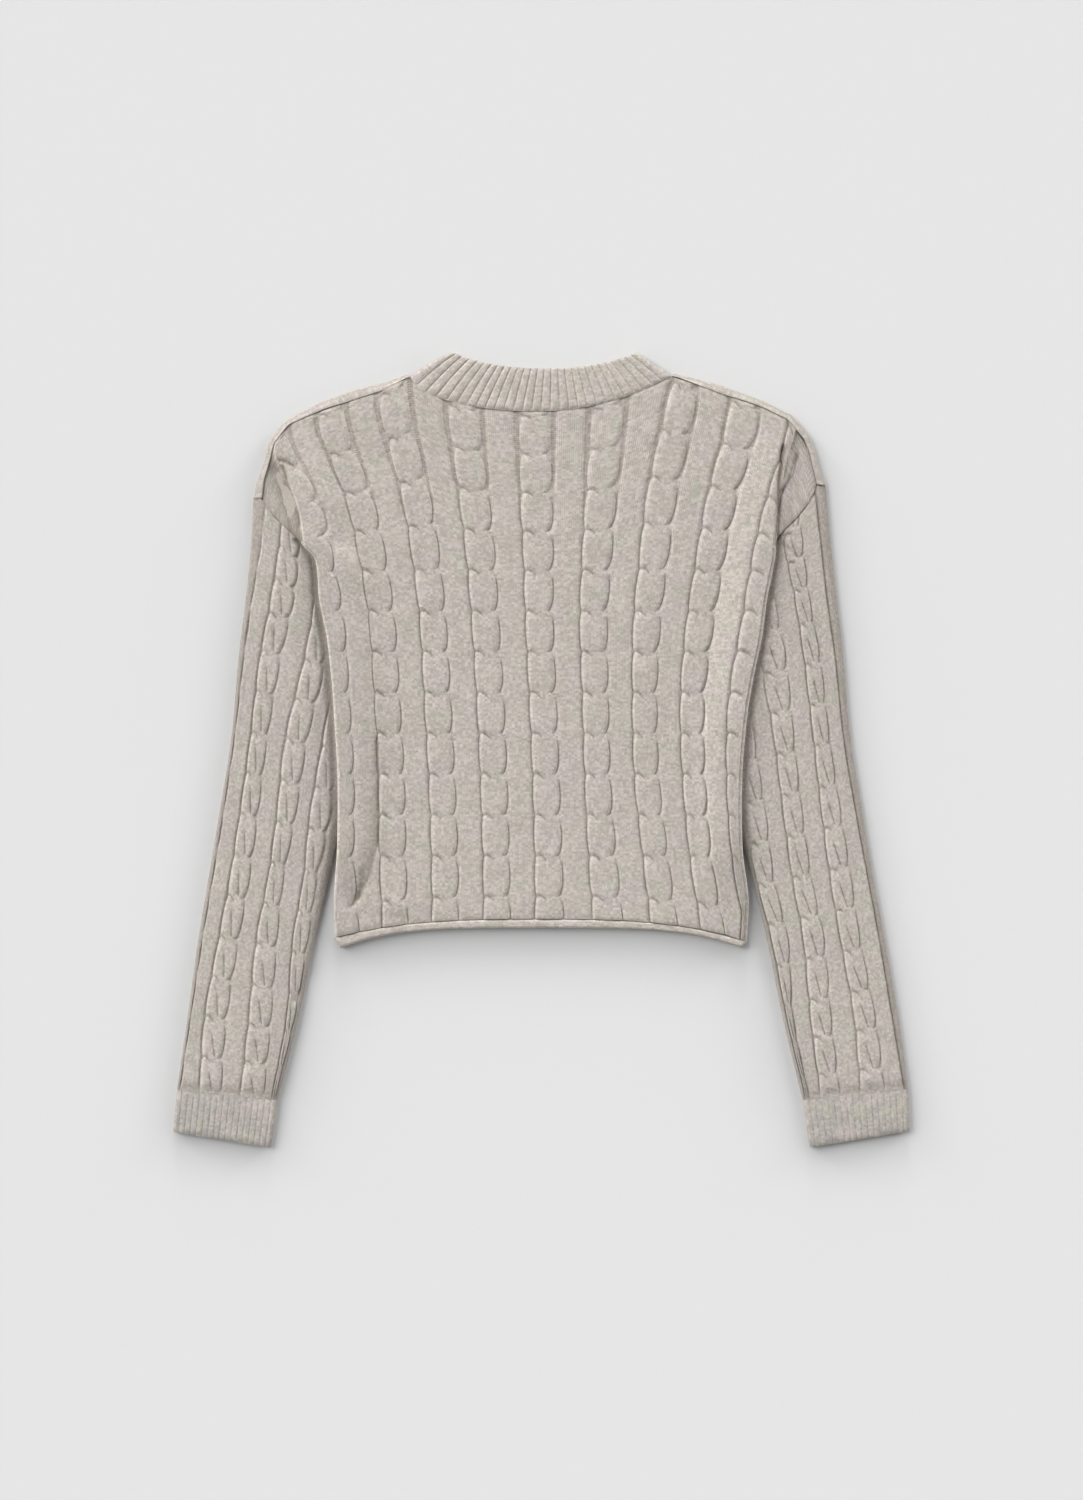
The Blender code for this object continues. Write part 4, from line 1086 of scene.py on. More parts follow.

# %% [markdown]
# ## Finishing a piece
#
# Every piece is finished the same way: the tree raises its knit, the piece is attached to the one body,
# and the solid that it replaces is hidden.

# %% Finish a piece
def finish_piece(piece, material, node, slot, seed, flat, area, rests_on, **heights):
    """Raise the knit on a shell, attach it to the one body and hide the solid it replaces."""
    apply_tree(piece, KNIT_TREE, seed=seed, material=material, **heights)
    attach(piece, "root")
    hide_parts(node)
    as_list(rests_on)
    piece.data.calc_loop_triangles()
    size = np.ptp(np.array([v.co for v in piece.data.vertices]), axis=0) / MM
    print(piece.name, len(piece.data.loop_triangles), "triangles,", np.round(size, 1), "mm")
    return piece

# %% [markdown]
# ## The back
#
# The back shows nine cables with a plain rib between each two. The two outer cables lie half round the
# folded sides. It is knitted as one sheet, so here it is one shell. Each band between two lines gets a
# fixed set of columns, close together at its edges, where the relief is steep, and wide apart on its top.
# The strips beyond the outer cables get columns too, which go round the fold.

# %% Back: stations across the bands
ROPE_STOPS = (0, .02, .045, .08, .12, .17, .23, .30, .38, .47, .56, .65, .72, .78, .83, .875, .91, .945, .975)
RIB_STOPS = (0, .03, .07, .12, .19, .32, .5, .68, .81, .88, .93, .97)
CAP_STOPS = ((0, .06, .15, .28, .42, .56, .70, .85), (0, .14, .28, .42, .56, .70, .85),
             (0, .14, .28, .42, .56, .70, .85))
BANDS = 17  # nine ropes and eight ribs
FIRST_LINE = len(CAP_STOPS)  # the line where the first rope begins
LAST_LINE = FIRST_LINE + BANDS
OUTER_ROPES = {0: (0.45, 1.0), BANDS - 1: (0.0, 0.55)}  # the part of them that shows


def body_stations():
    """(line, share of the way to the next, kind, across) for every column, and the last of each band."""
    stations, ends = [], {}
    for i, stops in enumerate(CAP_STOPS):
        stations += [(i, s, "cap", 0) for s in stops]
    for band in range(BANDS):
        kind = "rib" if band % 2 else "rope"
        low, high = OUTER_ROPES.get(band, (0.0, 1.0))
        stops = RIB_STOPS if band % 2 else ROPE_STOPS
        stations += [(FIRST_LINE + band, s, kind, mix(low, high, s)) for s in stops]
        ends[len(stations) - 1] = high
    stations.append((LAST_LINE, 0.0, "cap", 0))
    for i, stops in enumerate(reversed(CAP_STOPS)):
        stations += [(LAST_LINE + i, 1 - s, "cap", 0) for s in stops[::-1]]
    return stations, ends


stations, band_ends = body_stations()
share = np.array([s for _, s, _, _ in stations])
line = np.array([i for i, _, _, _ in stations])
x = mix(tracks[line, 0].T, tracks[line + 1, 0].T, share)
y = mix(tracks[line, 1].T, tracks[line + 1, 1].T, share)
print("back:", x.shape[0], "courses by", x.shape[1], "columns")

# %% [markdown]
# ### Creases
#
# Where the cloth lies slack, a fold sinks into it. The largest are at the two shoulder caps, where body
# and sleeve are gathered, and one long crease runs down the lower left with a bulge beside it. Each is a
# path with a width on its left, a width on its right and a depth, pressed into the sheet as a soft groove.
# The same rule gives the shade painted into a crease, and the patch of purl ground that shows at the left
# cap.
# Sculpting would be quicker, but a table can be read, moved and measured.

# %% Back: creases
LONG_CREASE = ((-147.5, 5), (-147.5, -82), (-155, -114), (-164.5, -134))
LEFT_CAP = ((-236, 261), (-230, 259.5), (-223, 255.5))
LEFT_NICK = ((-232, 255), (-229, 245))
RIGHT_CAP = ((230, 266), (225, 249), (216, 232))
CREASES = (  # (path in millimetres), its widths on the left and on the right, depth
    (LONG_CREASE, 8.0, 2.0, 2.2),
    (((-141, -138), (-127, -140)), 9.0, 9.0, -1.5),
    (LEFT_CAP, 1.3, 1.3, 1.3),
    (LEFT_NICK, 1.5, 1.2, 1.0),
    (((-235, 253), (-228, 240), (-218.5, 213), (-215, 186)), 7.0, 1.6, 1.7),
    (RIGHT_CAP, 1.4, 1.8, 1.6),
    (((222, 264), (219, 248), (214.5, 236)), 3.0, 2.5, -1.0),
    (((217.0, 272), (213.5, 243), (212.0, 205), (211.0, 184)), 1.8, 3.6, 2.2),
)
CREASE_SHADES = (  # the same with a strength instead of the depth: shade painted into each crease
    (((217.0, 272), (213.5, 243), (212.0, 205), (210.5, 184)), 1.6, 3.2, 0.85),
    (RIGHT_CAP, 1.3, 1.3, 0.85),
    (LEFT_CAP, 1.2, 1.2, 0.80),
    (LEFT_NICK, 1.6, 1.2, 0.60),
    (((-228, 240), (-218.5, 213), (-215, 186)), 4.0, 1.0, 0.45),
    (LONG_CREASE, 5.5, 1.2, 0.32),
    (((-161, -105), (-164.5, -134)), 1.8, 1.8, 0.50),
)
PURL_PATCH = ((((-233, 254), (-228, 240), (-219, 213), (-215, 186)), 11.0, 1.0, 1.4),)


def dents(x, y, creases):
    """Depth of the creases at each point."""
    total = np.zeros(np.broadcast(x, y).shape)
    for path, left_width, right_width, depth in creases:
        nearest = np.full(total.shape, np.inf)
        width = np.full(total.shape, float(left_width))
        for (x0, y0), (x1, y1) in zip(path, path[1:]):
            length = math.dist((x0, y0), (x1, y1))
            along = np.clip(((x - x0) * (x1 - x0) + (y - y0) * (y1 - y0)) / length ** 2, 0, 1)
            away = np.hypot(x - mix(x0, x1, along), y - mix(y0, y1, along))
            beyond = (x - x0) * (y0 - y1) + (y - y0) * (x1 - x0) > 0
            width = np.where(away < nearest, np.where(beyond, right_width, left_width), width)
            nearest = np.minimum(nearest, away)
        total += depth * np.exp(-(nearest / width) ** 2)
    return total


print(len(CREASES), "creases, the deepest", round(float(dents(x, y, CREASES).max()), 2), "mm deep")

# %% [markdown]
# ### How high the back lies
#
# The sheet lies flat on top of the stack and goes round the folds at its sides. Below the armpit the sides
# are folds; above it they are sewn to the sleeves. Every seam pulls the cloth down a little.

# %% Back: height
ARMHOLE_DIPS = (0.05, 0.35)  # how far the left and the right armhole seam sink in
SEAM_DIPS = (0.15, 0.10)  # the same at the neck and shoulders, and at the hem
STRIP_SHARE = 0.35  # how much of the fold one strip takes


def round_fold(s):
    """Height along a round fold: 0 at its edge, 1 where it comes out flat."""
    return np.sqrt(np.maximum(0, 1 - (1 - s) ** 2))


def at_ends(strengths, first, last, reach):
    """Something that is strongest at two ends and dies away over a reach."""
    return strengths[0] * np.exp(-first / reach) + strengths[1] * np.exp(-last / reach)


def held(hold, distance):
    """Share of the relief that a seam leaves at a distance, where hold is (least share, run)."""
    return mix(hold[0], 1.0, step(distance / hold[1]))


def folded_points(tracks, count):
    """Which points of a body sheet lie below an armpit, where its side is a fold."""
    left = tracks[0, 1] <= ARMPIT["left"]
    right = tracks[-1, 1] <= ARMPIT["right"]
    return np.where((np.arange(count) < count / 2)[None, :], left[:, None], right[:, None])


count = len(stations)
col = np.arange(count)
cap_run = sum(len(stops) for stops in CAP_STOPS)
lower_shares = np.concatenate([np.array(stops) * STRIP_SHARE + start
                               for stops, start in zip(CAP_STOPS, CAP_SHARES)])
cap_share = np.ones(count)
cap_share[:cap_run] = lower_shares
cap_share[count - cap_run:] = lower_shares[::-1]
is_folded = folded_points(tracks, count)
lift = body_lift(x, y)
flat_top = lift + 2 * WALL + AIR
rounded = mix(lift + HALF_STACK, flat_top, round_fold(cap_share))
from_top = (COURSE_END - courses)[:, None]
from_hem = (courses - courses[0])[:, None]
seam_dip = SEAM_DIPS[0] * np.exp(-from_top / 1.2) + SEAM_DIPS[1] * np.exp(-from_hem / 1.0)
armhole_dip = np.where(is_folded, 0, at_ends(ARMHOLE_DIPS, col, count - 1 - col, 1.5))
z = np.where(is_folded, rounded, flat_top) - seam_dip - armhole_dip - dents(x, y, CREASES)
print("the back lies", np.round([z.min(), z.max()], 2), "mm high,", int(is_folded[:, 0].sum()),
      "of its courses beside a fold")

# %% [markdown]
# ### What the back's points know
#
# Each column knows its kind and how far across its band it lies, and each course how far it is past a
# crossing. The seams hold the ropes down for the last few courses. Towards the shoulders the sweater is
# pulled sideways, so the grooves stand open there, more on the left than on the right. The stitches are
# counted too: ten wales to a rope, eight to a rib.

# %% Back: knit
SEAM_SHADES = (0.26, 0.20)  # shade painted along the tight seams at the neck and shoulders, and at the hem
# Shade painted along the left and the right armhole seam.
ARMHOLE_SHADES = (0.05, 0.55)
SHADE_REACHES = (0.9, 2.0)  # of a seam's shade in millimetres, of an armhole's in columns
TOP_HOLD, HEM_HOLD = (0.80, 3), (0.75, 3)
SLACK_RISE = (185, 115)  # height from which the grooves open, and how far up they do
SLACK_SIDES = (40, 120, 0.45)  # where they open less, over what width, and how much is left
ROPE_WALES, RIB_WALES = 10, 8
WALE_WIDTH = 2.6  # on the plain cloth beyond the outer cables
COURSE_HEIGHT = 1.85

kinds = np.array([kind for _, _, kind, _ in stations])
is_cap = kinds == "cap"
held_down = held(TOP_HOLD, from_top) * held(HEM_HOLD, from_hem)
edge_shade = at_ends(ARMHOLE_SHADES, col, count - 1 - col, SHADE_REACHES[1])
seam_shade = at_ends(SEAM_SHADES, from_top, from_hem, SHADE_REACHES[0])
opened = OPEN * step((y - SLACK_RISE[0]) / SLACK_RISE[1])
back_knit = {
    "across": np.broadcast_to([t for _, _, _, t in stations], x.shape),
    "turn": np.broadcast_to(((BODY_CROSSING - courses) / PERIOD)[:, None], x.shape),
    "cable": np.where(kinds == "rope", held_down, 0),
    "rib": np.where(kinds == "rib", held_down, 0),
    "slack": opened * mix(1.0, SLACK_SIDES[2], step((x - SLACK_SIDES[0]) / SLACK_SIDES[1])),
    "purl": np.clip(dents(x, y, PURL_PATCH), 0, 1),
    # Shade painted along the seams and armholes and into the creases.
    "seam": seam_shade + np.where(is_folded, 0, edge_shade) + dents(x, y, CREASE_SHADES),
}
wale_of_band = np.cumsum([0] + [RIB_WALES if band % 2 else ROPE_WALES for band in range(BANDS)])
wale = np.array([mix(wale_of_band[i - FIRST_LINE], wale_of_band[i - FIRST_LINE + 1], s)
                 if kind != "cap" else 0.0 for i, s, kind, _ in stations])
wale = np.where(is_cap, (x - x[:, [cap_run]]) / WALE_WIDTH, wale)
beyond = (x - x[:, [count - 1 - cap_run]]) / WALE_WIDTH + wale_of_band[-1]
wale = np.where(is_cap & (col >= count / 2), beyond, wale)
course = np.broadcast_to((courses / COURSE_HEIGHT)[:, None], x.shape)
print("stitches across the back:", int(wale_of_band[-1]), "and up:", round(float(np.ptp(course))))

# %% Back: lining and shell
LINING_STEP = (8, 14)  # the plain inner side keeps one row in 8 and one column in 14
SIDE_GAP = 0.15  # half the gap at the side, where the back meets the front
THINNEST = 0.3  # what is left of the wall under the deepest crease


def fold_inwards(inner_x, is_low):
    """Move the lining's two edges in by a wall's thickness wherever the side is a fold."""
    for c, inward in ((0, WALL), (-1, -WALL)):
        inner_x[:, c] += np.where(is_low[:, c], inward, 0)


def edge_heights(inner_z, outer_z, is_low):
    """Along a fold the lining's edges lie as high as the skin's, so that the wall ends level."""
    for c in (0, -1):
        inner_z[:, c] = np.where(is_low[:, c], outer_z[:, c], inner_z[:, c])


keep_rows = sorted(set(range(0, len(courses), LINING_STEP[0])) | {len(courses) - 1})
keep_cols = sorted({0, cap_run, count - 1 - cap_run, count - 1}
                   | set(range(cap_run, count - cap_run, LINING_STEP[1])))
kept = np.ix_(keep_rows, keep_cols)
lining_x, lining_y = x[kept], y[kept]
lining_z = body_lift(lining_x, lining_y) + WALL + AIR
fold_inwards(lining_x, is_folded[kept])
for c in (0, -1):
    z[:, c] = np.where(is_folded[:, c], z[:, c] + SIDE_GAP, z[:, c])
lining_z = np.minimum(lining_z, z[kept] - THINNEST)
edge_heights(lining_z, z[kept], is_folded[kept])
skin = np.stack([x, y, z], axis=-1)
lining = np.stack([lining_x, lining_y, lining_z], axis=-1)
back = make_shell("back", skin, lining, keep_rows, keep_cols, False, back_knit, (wale, course), band_ends)
finish_piece(back, CABLE_KNIT, "back_panel", "cable_knit", 1.0, (0.50, 0.505), 0.192, ["front"])

# %% [markdown]
# ## The front
#
# The sweater lies on its front, so this panel is plain and flat underneath. Its neck is cut deeper, and
# at the shoulders it turns over the fold and meets the back at a seam on top. It is made in two steps: the
# main sheet on the same lines as the back, with far fewer rows because nothing is raised on it, and then
# the two strips that turn over the shoulders. They are joined into one piece, as the cloth is.

# %% Front: main sheet
FRONT_ROW = 9.0  # height from one row to the next
FRONT_STOPS = (0.0, 0.33, 0.67)
PULL_POWERS = (2, 8)  # how late the columns bend to their ends under the neck, and elsewhere
LAST_STRIP = 0.3  # how much of the fold the third strip takes on this side


def front_neck_height(x):
    """Height of the front's neck seam, which hangs below the line between the neck's two ends."""
    across = (x - NECK_LEFT) / (NECK_RIGHT - NECK_LEFT)
    ends = mix(neck_height(NECK_LEFT), neck_height(NECK_RIGHT), across)
    return ends - FRONT_NECK_DROP * np.maximum(0, 1 - (2 * across - 1) ** 2) ** 0.75


def shoulder_track(table):
    """Curves of the shoulder's seam and fold, by how far up and in a point lies."""
    return [straight([(row[1] - abs(row[0]), row[at]) for row in table]) for at in range(4)]


def front_top(x0, y0):
    """Upper end of a front column: deep neck seam, or just inside the shoulder fold."""
    if NECK_LEFT + 0.5 < x0 < NECK_RIGHT - 0.5:
        return x0, float(front_neck_height(x0))
    seam_x, seam_y, fold_x, fold_y = [float(curve(y0 - abs(x0))) for curve in
                                      shoulder_track(SHOULDER_LEFT if x0 < 0 else SHOULDER_RIGHT)]
    inset = HALF_STACK / math.dist((seam_x, seam_y), (fold_x, fold_y))
    return mix(fold_x, seam_x, inset), mix(fold_y, seam_y, inset)


front_courses = np.array(sorted(set(np.arange(courses[0], COURSE_END, FRONT_ROW)) | {COURSE_END}))
front_tracks = body_tracks(front_courses)
front_stations = [(i, s) for i in range(len(front_tracks) - 1) for s in FRONT_STOPS]
front_stations.append((len(front_tracks) - 2, 1.0))
line = np.array([i for i, _ in front_stations])
share = np.array([s for _, s in front_stations])
fx = mix(front_tracks[line, 0].T, front_tracks[line + 1, 0].T, share)
fy = mix(front_tracks[line, 1].T, front_tracks[line + 1, 1].T, share)
goals = [front_top(float(a), float(b)) for a, b in zip(fx[-1], fy[-1])]
power = np.where((fx[-1] > NECK_LEFT) & (fx[-1] < NECK_RIGHT), *PULL_POWERS)
pull = np.maximum(0, (front_courses - BEND_FROM) / (COURSE_END - BEND_FROM))[:, None] ** power
fx = fx + (np.array([g[0] for g in goals]) - fx[-1]) * pull
fy = fy + (np.array([g[1] for g in goals]) - fy[-1]) * pull
print("front:", fx.shape[0], "rows by", fx.shape[1], "columns")

# %% Front: height and shell
FOLD_COLUMNS = 6  # the plain inner side leaves out the columns that go round the fold

fold_share = np.ones(len(line))
for c in range(FIRST_LINE * len(FRONT_STOPS)):
    in_strip = (line[c] + share[c]) * STRIP_SHARE
    fold_share[c] = in_strip if line[c] < 2 else CAP_SHARES[2] + share[c] * LAST_STRIP
    fold_share[-1 - c] = fold_share[c]
front_lift = body_lift(fx, fy)
front_folded = folded_points(front_tracks, len(line))
folded_z = mix(front_lift + HALF_STACK - SIDE_GAP, front_lift, round_fold(fold_share))
fz = np.where(front_folded, folded_z, front_lift)
rows = list(range(len(front_courses)))
last = len(line) - 1
cols = [c for c in range(len(line)) if c in (0, last) or FOLD_COLUMNS <= c <= last - FOLD_COLUMNS]
inner = np.stack([fx, fy, front_lift + WALL], axis=-1)[np.ix_(rows, cols)]
fold_inwards(inner[:, :, 0], front_folded)
edge_heights(inner[:, :, 2], fz, front_folded)
in_band = (line >= FIRST_LINE) & (line < LAST_LINE)
front_knit = {"across": np.where(in_band, share, 0.5),
              "turn": ((BODY_CROSSING - front_courses) / PERIOD)[:, None]}
front_wale = np.interp(fx[0], x[0], wale[0])
front_course = (front_courses / COURSE_HEIGHT)[:, None]
front_ends = {c: 1.0 for c in range(last) if in_band[c] and line[c + 1] != line[c]}
front = make_shell("front", np.stack([fx, fy, fz], axis=-1), inner, rows, cols, False, front_knit,
                   (front_wale, front_course), front_ends)
print("plain sheet:", len(front.data.vertices), "points")

# %% [markdown]
# ### The turned shoulders
#
# Each strip is a loft: a closed section of the cloth's thickness, bent round the fold like a hook and
# swollen a little at the seam, is set up at many places along the shoulder, and the sections are joined.
# A curve with a bevel could do the same, but its section couldn't change from place to place.

# %% Front: section of a turned strip
WRAP_STEPS = 12  # points round the fold
TURN_LAPS = (3.0, 0.5)  # how far in the strip's lower end reaches over the main sheet
TURN_CLEAR = 0.1  # how deep it is let into that sheet
TURN_SWELL = (1.0, 1.4, 1.2)  # rise of the rolled seam above the fold's top
TURN_END = (0.45, 0.8)  # clearance before the seam, and the least length on top


def half_turn(radius, every=1):
    """Points round the shoulder fold, from below to the top."""
    angles = [math.pi * n / WRAP_STEPS for n in range(0, WRAP_STEPS + 1, every)]
    return [(HALF_STACK - radius * math.sin(a), HALF_STACK - radius * math.cos(a)) for a in angles]


def turn_section(length):
    """(distance in from the fold, height) along the strip's outer side and back along its inner side."""
    top = 2 * HALF_STACK
    end = max(length - TURN_END[0], HALF_STACK + TURN_END[1])
    outer = [(HALF_STACK + lap, TURN_CLEAR) for lap in TURN_LAPS] + half_turn(HALF_STACK)
    outer += [(mix(HALF_STACK, end, 0.5), top + TURN_SWELL[0]), (end - 0.6, top + TURN_SWELL[1]),
              (end, top + TURN_SWELL[2])]
    inside = [(HALF_STACK + lap, WALL - TURN_CLEAR) for lap in TURN_LAPS]
    inside += half_turn(HALF_STACK - WALL, 3) + [(end, top - WALL)]
    return outer + inside[::-1]


print("a turned strip's section has", len(turn_section(20.0)), "points")

# %% Front: turn the shoulders over
TURN_PLACES = 60  # sections along one shoulder
TURN_STITCH = (1.9, 0.75)  # width of a wale along the fold, and courses to a point of the section
FOLD_SHADE = 0.50  # shade painted where cloth turns over at a fold


def turn_grid(table):
    """Sections along the shoulder, and how far along the fold each stands."""
    curves = shoulder_track(table)
    places = [row[1] - abs(row[0]) for row in table]
    spots = np.interp(np.linspace(0, len(places) - 1, TURN_PLACES), np.arange(len(places)), places)
    loops, runs, fold = [], [], None
    for place in spots:
        seam_x, seam_y, fold_x, fold_y = [float(curve(place)) for curve in curves]
        runs.append(runs[-1] + math.dist(fold, (fold_x, fold_y)) if runs else 0.0)
        fold = (fold_x, fold_y)
        length = math.dist((seam_x, seam_y), fold)
        inward = ((seam_x - fold_x) / length, (seam_y - fold_y) / length)
        loops.append([(fold_x + inward[0] * a, fold_y + inward[1] * a, h) for a, h in turn_section(length)])
    return np.array(loops), np.array(runs)


def turn_mesh(table):
    """The strip's closed mesh, with its stitches and the shade painted on its fold."""
    grid, runs = turn_grid(table)
    points = grid.shape[1]
    ids = np.arange(grid.shape[0] * points).reshape(grid.shape[:2])
    faces = grid_faces(ids, True, False).tolist()
    faces += [list(map(int, ids[0])), list(map(int, ids[-1][::-1]))]
    mesh = bpy.data.meshes.new("turn")
    mesh.from_pydata((grid.reshape(-1, 3) * MM).tolist(), [], faces)
    where = np.array([loop.vertex_index for loop in mesh.loops])
    uv = np.zeros((len(mesh.loops), 2), np.float32)
    uv[:, 0] = runs[where // points] / TURN_STITCH[0]
    uv[:, 1] = (where % points) * TURN_STITCH[1]
    mesh.uv_layers.new(name="stitches").data.foreach_set("uv", uv.ravel())
    # Shade painted on the strip's outer side round the fold, fading out towards the top.
    turned = np.clip(2 - 2 * (np.arange(points) - 2) / WRAP_STEPS, 0, 1) * FOLD_SHADE
    layer = mesh.attributes.new("seam", "FLOAT", "POINT")
    layer.data.foreach_set("value", np.tile(turned.astype(np.float32), grid.shape[0]))
    face_outwards(mesh)
    return mesh


def add_turn(piece, table):
    """Join to a piece the strip that turns over the shoulder fold and lies on top as far as the seam."""
    mesh = turn_mesh(table)
    whole = bmesh.new()
    whole.from_mesh(piece.data)
    whole.from_mesh(mesh)
    whole.to_mesh(piece.data)
    whole.free()
    bpy.data.meshes.remove(mesh)


add_turn(front, SHOULDER_LEFT)
add_turn(front, SHOULDER_RIGHT)
finish_piece(front, CABLE_KNIT, "front_panel", "cable_knit", 2.0, (0.52, 0.515), 0.187, ["floor"])

# %% [markdown]
# ## The sleeves
#
# Each sleeve is a knitted tube pressed flat. Its upper side shows three ropes between plain ribs, and its
# inner edge slides under the body's side, where the layers press the relief down. A squashed cylinder
# would be quick, but its rows would run square across. Here they slope, steeply at the armhole and hardly
# at the cuff. So the tube is built like the body, from a table of lines and a rule for the rows.

# %% Sleeve tables, millimetres
SLIT = 0.6  # air inside a pressed sleeve, at its folds
PUFF = 1.2  # extra air along the middle of a sleeve
TUBE_HALF = WALL + SLIT / 2  # middle height of a pressed tube

# Sleeves: the outer fold, the lines between ribs and cables, and the inner fold, at ten heights.
SLEEVE = ("height", "outer", "strip", "rib1", "cable1", "rib2", "cable2", "rib3", "cable3", "inner")
SLEEVE_LEFT = (
    (226, -259.5, -248, -231, -216, -211, -205.5, -203, -201, -197),
    (180, -262, -253, -237, -217.5, -208, -202, -199.5, -197.5, -193),
    (136, -266.5, -260.5, -244, -222.5, -204.5, -197, -191, -187, -184),
    (82, -273, -268, -254, -234.5, -214, -194, -185, -178, -172),
    (10, -279.5, -276.5, -262.5, -246.5, -231, -210, -197, -181, -172),
    (-62, -291, -287, -272.5, -255.5, -239, -221.5, -209.5, -189.5, -180),
    (-116, -300, -296, -281, -262.5, -246.5, -232, -214.5, -202, -191),
    (-170, -309, -305, -291, -272, -257, -237.5, -224, -210, -204),
    (-242, -319, -316, -304, -283, -264, -243, -229.5, -222.5, -219),
    (-314, -329.5, -327, -308.5, -288.5, -272, -249.5, -243, -240, -237.5),
)
SLEEVE_RIGHT = (
    (226, 257, 247, 231, 215, 209.5, 205, 202, 199, 195),
    (180, 261, 252, 236, 219, 205, 200, 197, 194, 190),
    (136, 266, 257, 241.5, 228, 210, 196, 190, 186, 183),
    (82, 272, 264.5, 251, 236, 220.5, 197, 184, 178, 174),
    (10, 278.5, 272, 259.5, 244.5, 227.5, 209, 192, 177, 171),
    (-62, 290, 284, 270.5, 252.5, 235.5, 218, 203, 184, 175),
    (-116, 299, 294, 279, 259.5, 243.5, 225.5, 209.5, 193, 190),
    (-170, 309, 304, 287, 268.5, 254.5, 235, 222, 206.5, 203),
    (-242, 321.5, 316, 301, 281, 261, 242, 226.5, 221, 217.5),
    (-314, 331.5, 328, 310, 287, 269.5, 251, 241, 238, 235),
)
SLEEVE_TOP = {-1: 226.0, 1: 237.5}  # height of the outer fold at the armhole, by side
SLEEVE_UNDER = {  # its hidden end under the body's side, (x, height)
    -1: ((-214.8, 183.8), (-208, 181), (-190, 163)),
    1: ((211.2, 187.2), (206, 185), (186, 168)),
}
SLEEVE_END = {-1: -306.0, 1: -305.0}  # height of the outer fold at the cuff
SLEEVE_CROSSING = {-1: 19.8, 1: -210.6}
TOP_TILT = 0.90  # slope of the armhole across the sleeve
COURSE_TILT = 0.21  # slope of the knitted rows further down
CUFF_TILT = 0.10
TILT_RUN = 110.0  # length over which the slope settles
TOP_BEND = 80.0  # length over which the rows bend to the armhole's curve
SEAM_DROP = 0.6  # clearance at the armhole, measured down the slanting seam
UNDER_DROP = 1.3  # the same under the sleeve, where its edge is straighter
SLEEVE_CLEARANCES = {-1: 0.12, 1: SEAM_DROP}
print("sleeve tables:", len(SLEEVE_LEFT), "heights; the sleeves are",
      round(math.dist(SLEEVE_LEFT[0][:2], SLEEVE_LEFT[-1][:2])), "mm long along the outer fold")

# %% Sleeve: where rows meet lines
SETTLE_ROUNDS = 30
SETTLE_STEP = 0.6
PAST_SHOULDER = 20.0  # how far the armhole's edge is drawn on past the shoulder


def which_side(sign):
    return "left" if sign < 0 else "right"


def settle(start, goal):
    """Step towards a goal that depends on where one stands, until the two agree."""
    value = start
    for _ in range(SETTLE_ROUNDS):
        value = mix(value, goal(value), SETTLE_STEP)
    return value


def armhole_edge(sign, drop):
    """The armhole's edge less a clearance, from the shoulder inwards and on under the body."""
    line = tracks[0 if sign < 0 else -1]
    seam = line[:, line[1] > ARMPIT[which_side(sign)]].T[::3].tolist()
    seam.append(line[:, -1].tolist())
    edge = sorted({(round(a, 3), round(b, 3)) for a, b in seam}, key=lambda p: abs(p[0]))
    edge.append((edge[-1][0] + PAST_SHOULDER * sign, edge[-1][1]))
    return straight([(a, b - drop) for a, b in edge + list(SLEEVE_UNDER[sign])])


def sleeve_tilt(sign, height):
    """Slope of the rows: that of the armhole, easing to the knit's own, and less at the cuff."""
    below = SLEEVE_TOP[sign] - height
    tilt = mix(TOP_TILT, COURSE_TILT, np.minimum(below / TILT_RUN, 1.0))
    return mix(tilt, CUFF_TILT, step(1 - (height - SLEEVE_END[sign]) / TILT_RUN))


def sleeve_place(sign, line, outer, heights, seam):
    """Where rows meet a line of the sleeve; the last rows bend to follow the armhole."""
    def course(start):
        slope = sleeve_tilt(sign, start)
        return settle(start, lambda level: start - slope * np.abs(line(level) - outer(start)))

    top = SLEEVE_TOP[sign]
    end = settle(top, lambda height: seam(line(height)))
    near = np.maximum(0, 1 - (top - heights) / TOP_BEND)
    level = course(heights) + (end - course(np.asarray(top, float))) * near
    return line(level), level


print("the rows' slope at heights 226, 0 and -306:",
      [round(float(sleeve_tilt(-1, height)), 2) for height in (226.0, 0.0, -306.0)])

# %% Sleeve: columns
EDGE_STOPS = (0, .04, .14, .32, .55, .8)
EDGE_RUN = len(EDGE_STOPS)  # columns that go round a fold
SLEEVE_KINDS = ("rib", "rope", "rib", "rope", "rib", "rope")


def sleeve_stations(sign):
    """(band, share, kind, across) over the upper side, and the last column of each band.

    Columns run inwards from the outer fold, so on the right sleeve `across` runs backwards.
    """
    stations = [(0, s, "rib", mix(0.5, 1.0, s)) for s in EDGE_STOPS]
    ends = {len(stations) - 1: 1.0}
    for band, kind in enumerate(SLEEVE_KINDS, start=1):
        stops = ROPE_STOPS if kind == "rope" else RIB_STOPS
        stations += [(band, s, kind, s) for s in stops]
        ends[len(stations) - 1] = 1.0
    last_band = len(SLEEVE_KINDS) + 1
    stations += [(last_band, 1 - s, "rib", mix(0.5, 0.0, s)) for s in (1,) + EDGE_STOPS[::-1]]
    if sign > 0:
        stations = [(band, s, kind, 1 - across) for band, s, kind, across in stations]
        ends = {c: 0.0 for c in ends}
    return stations, ends


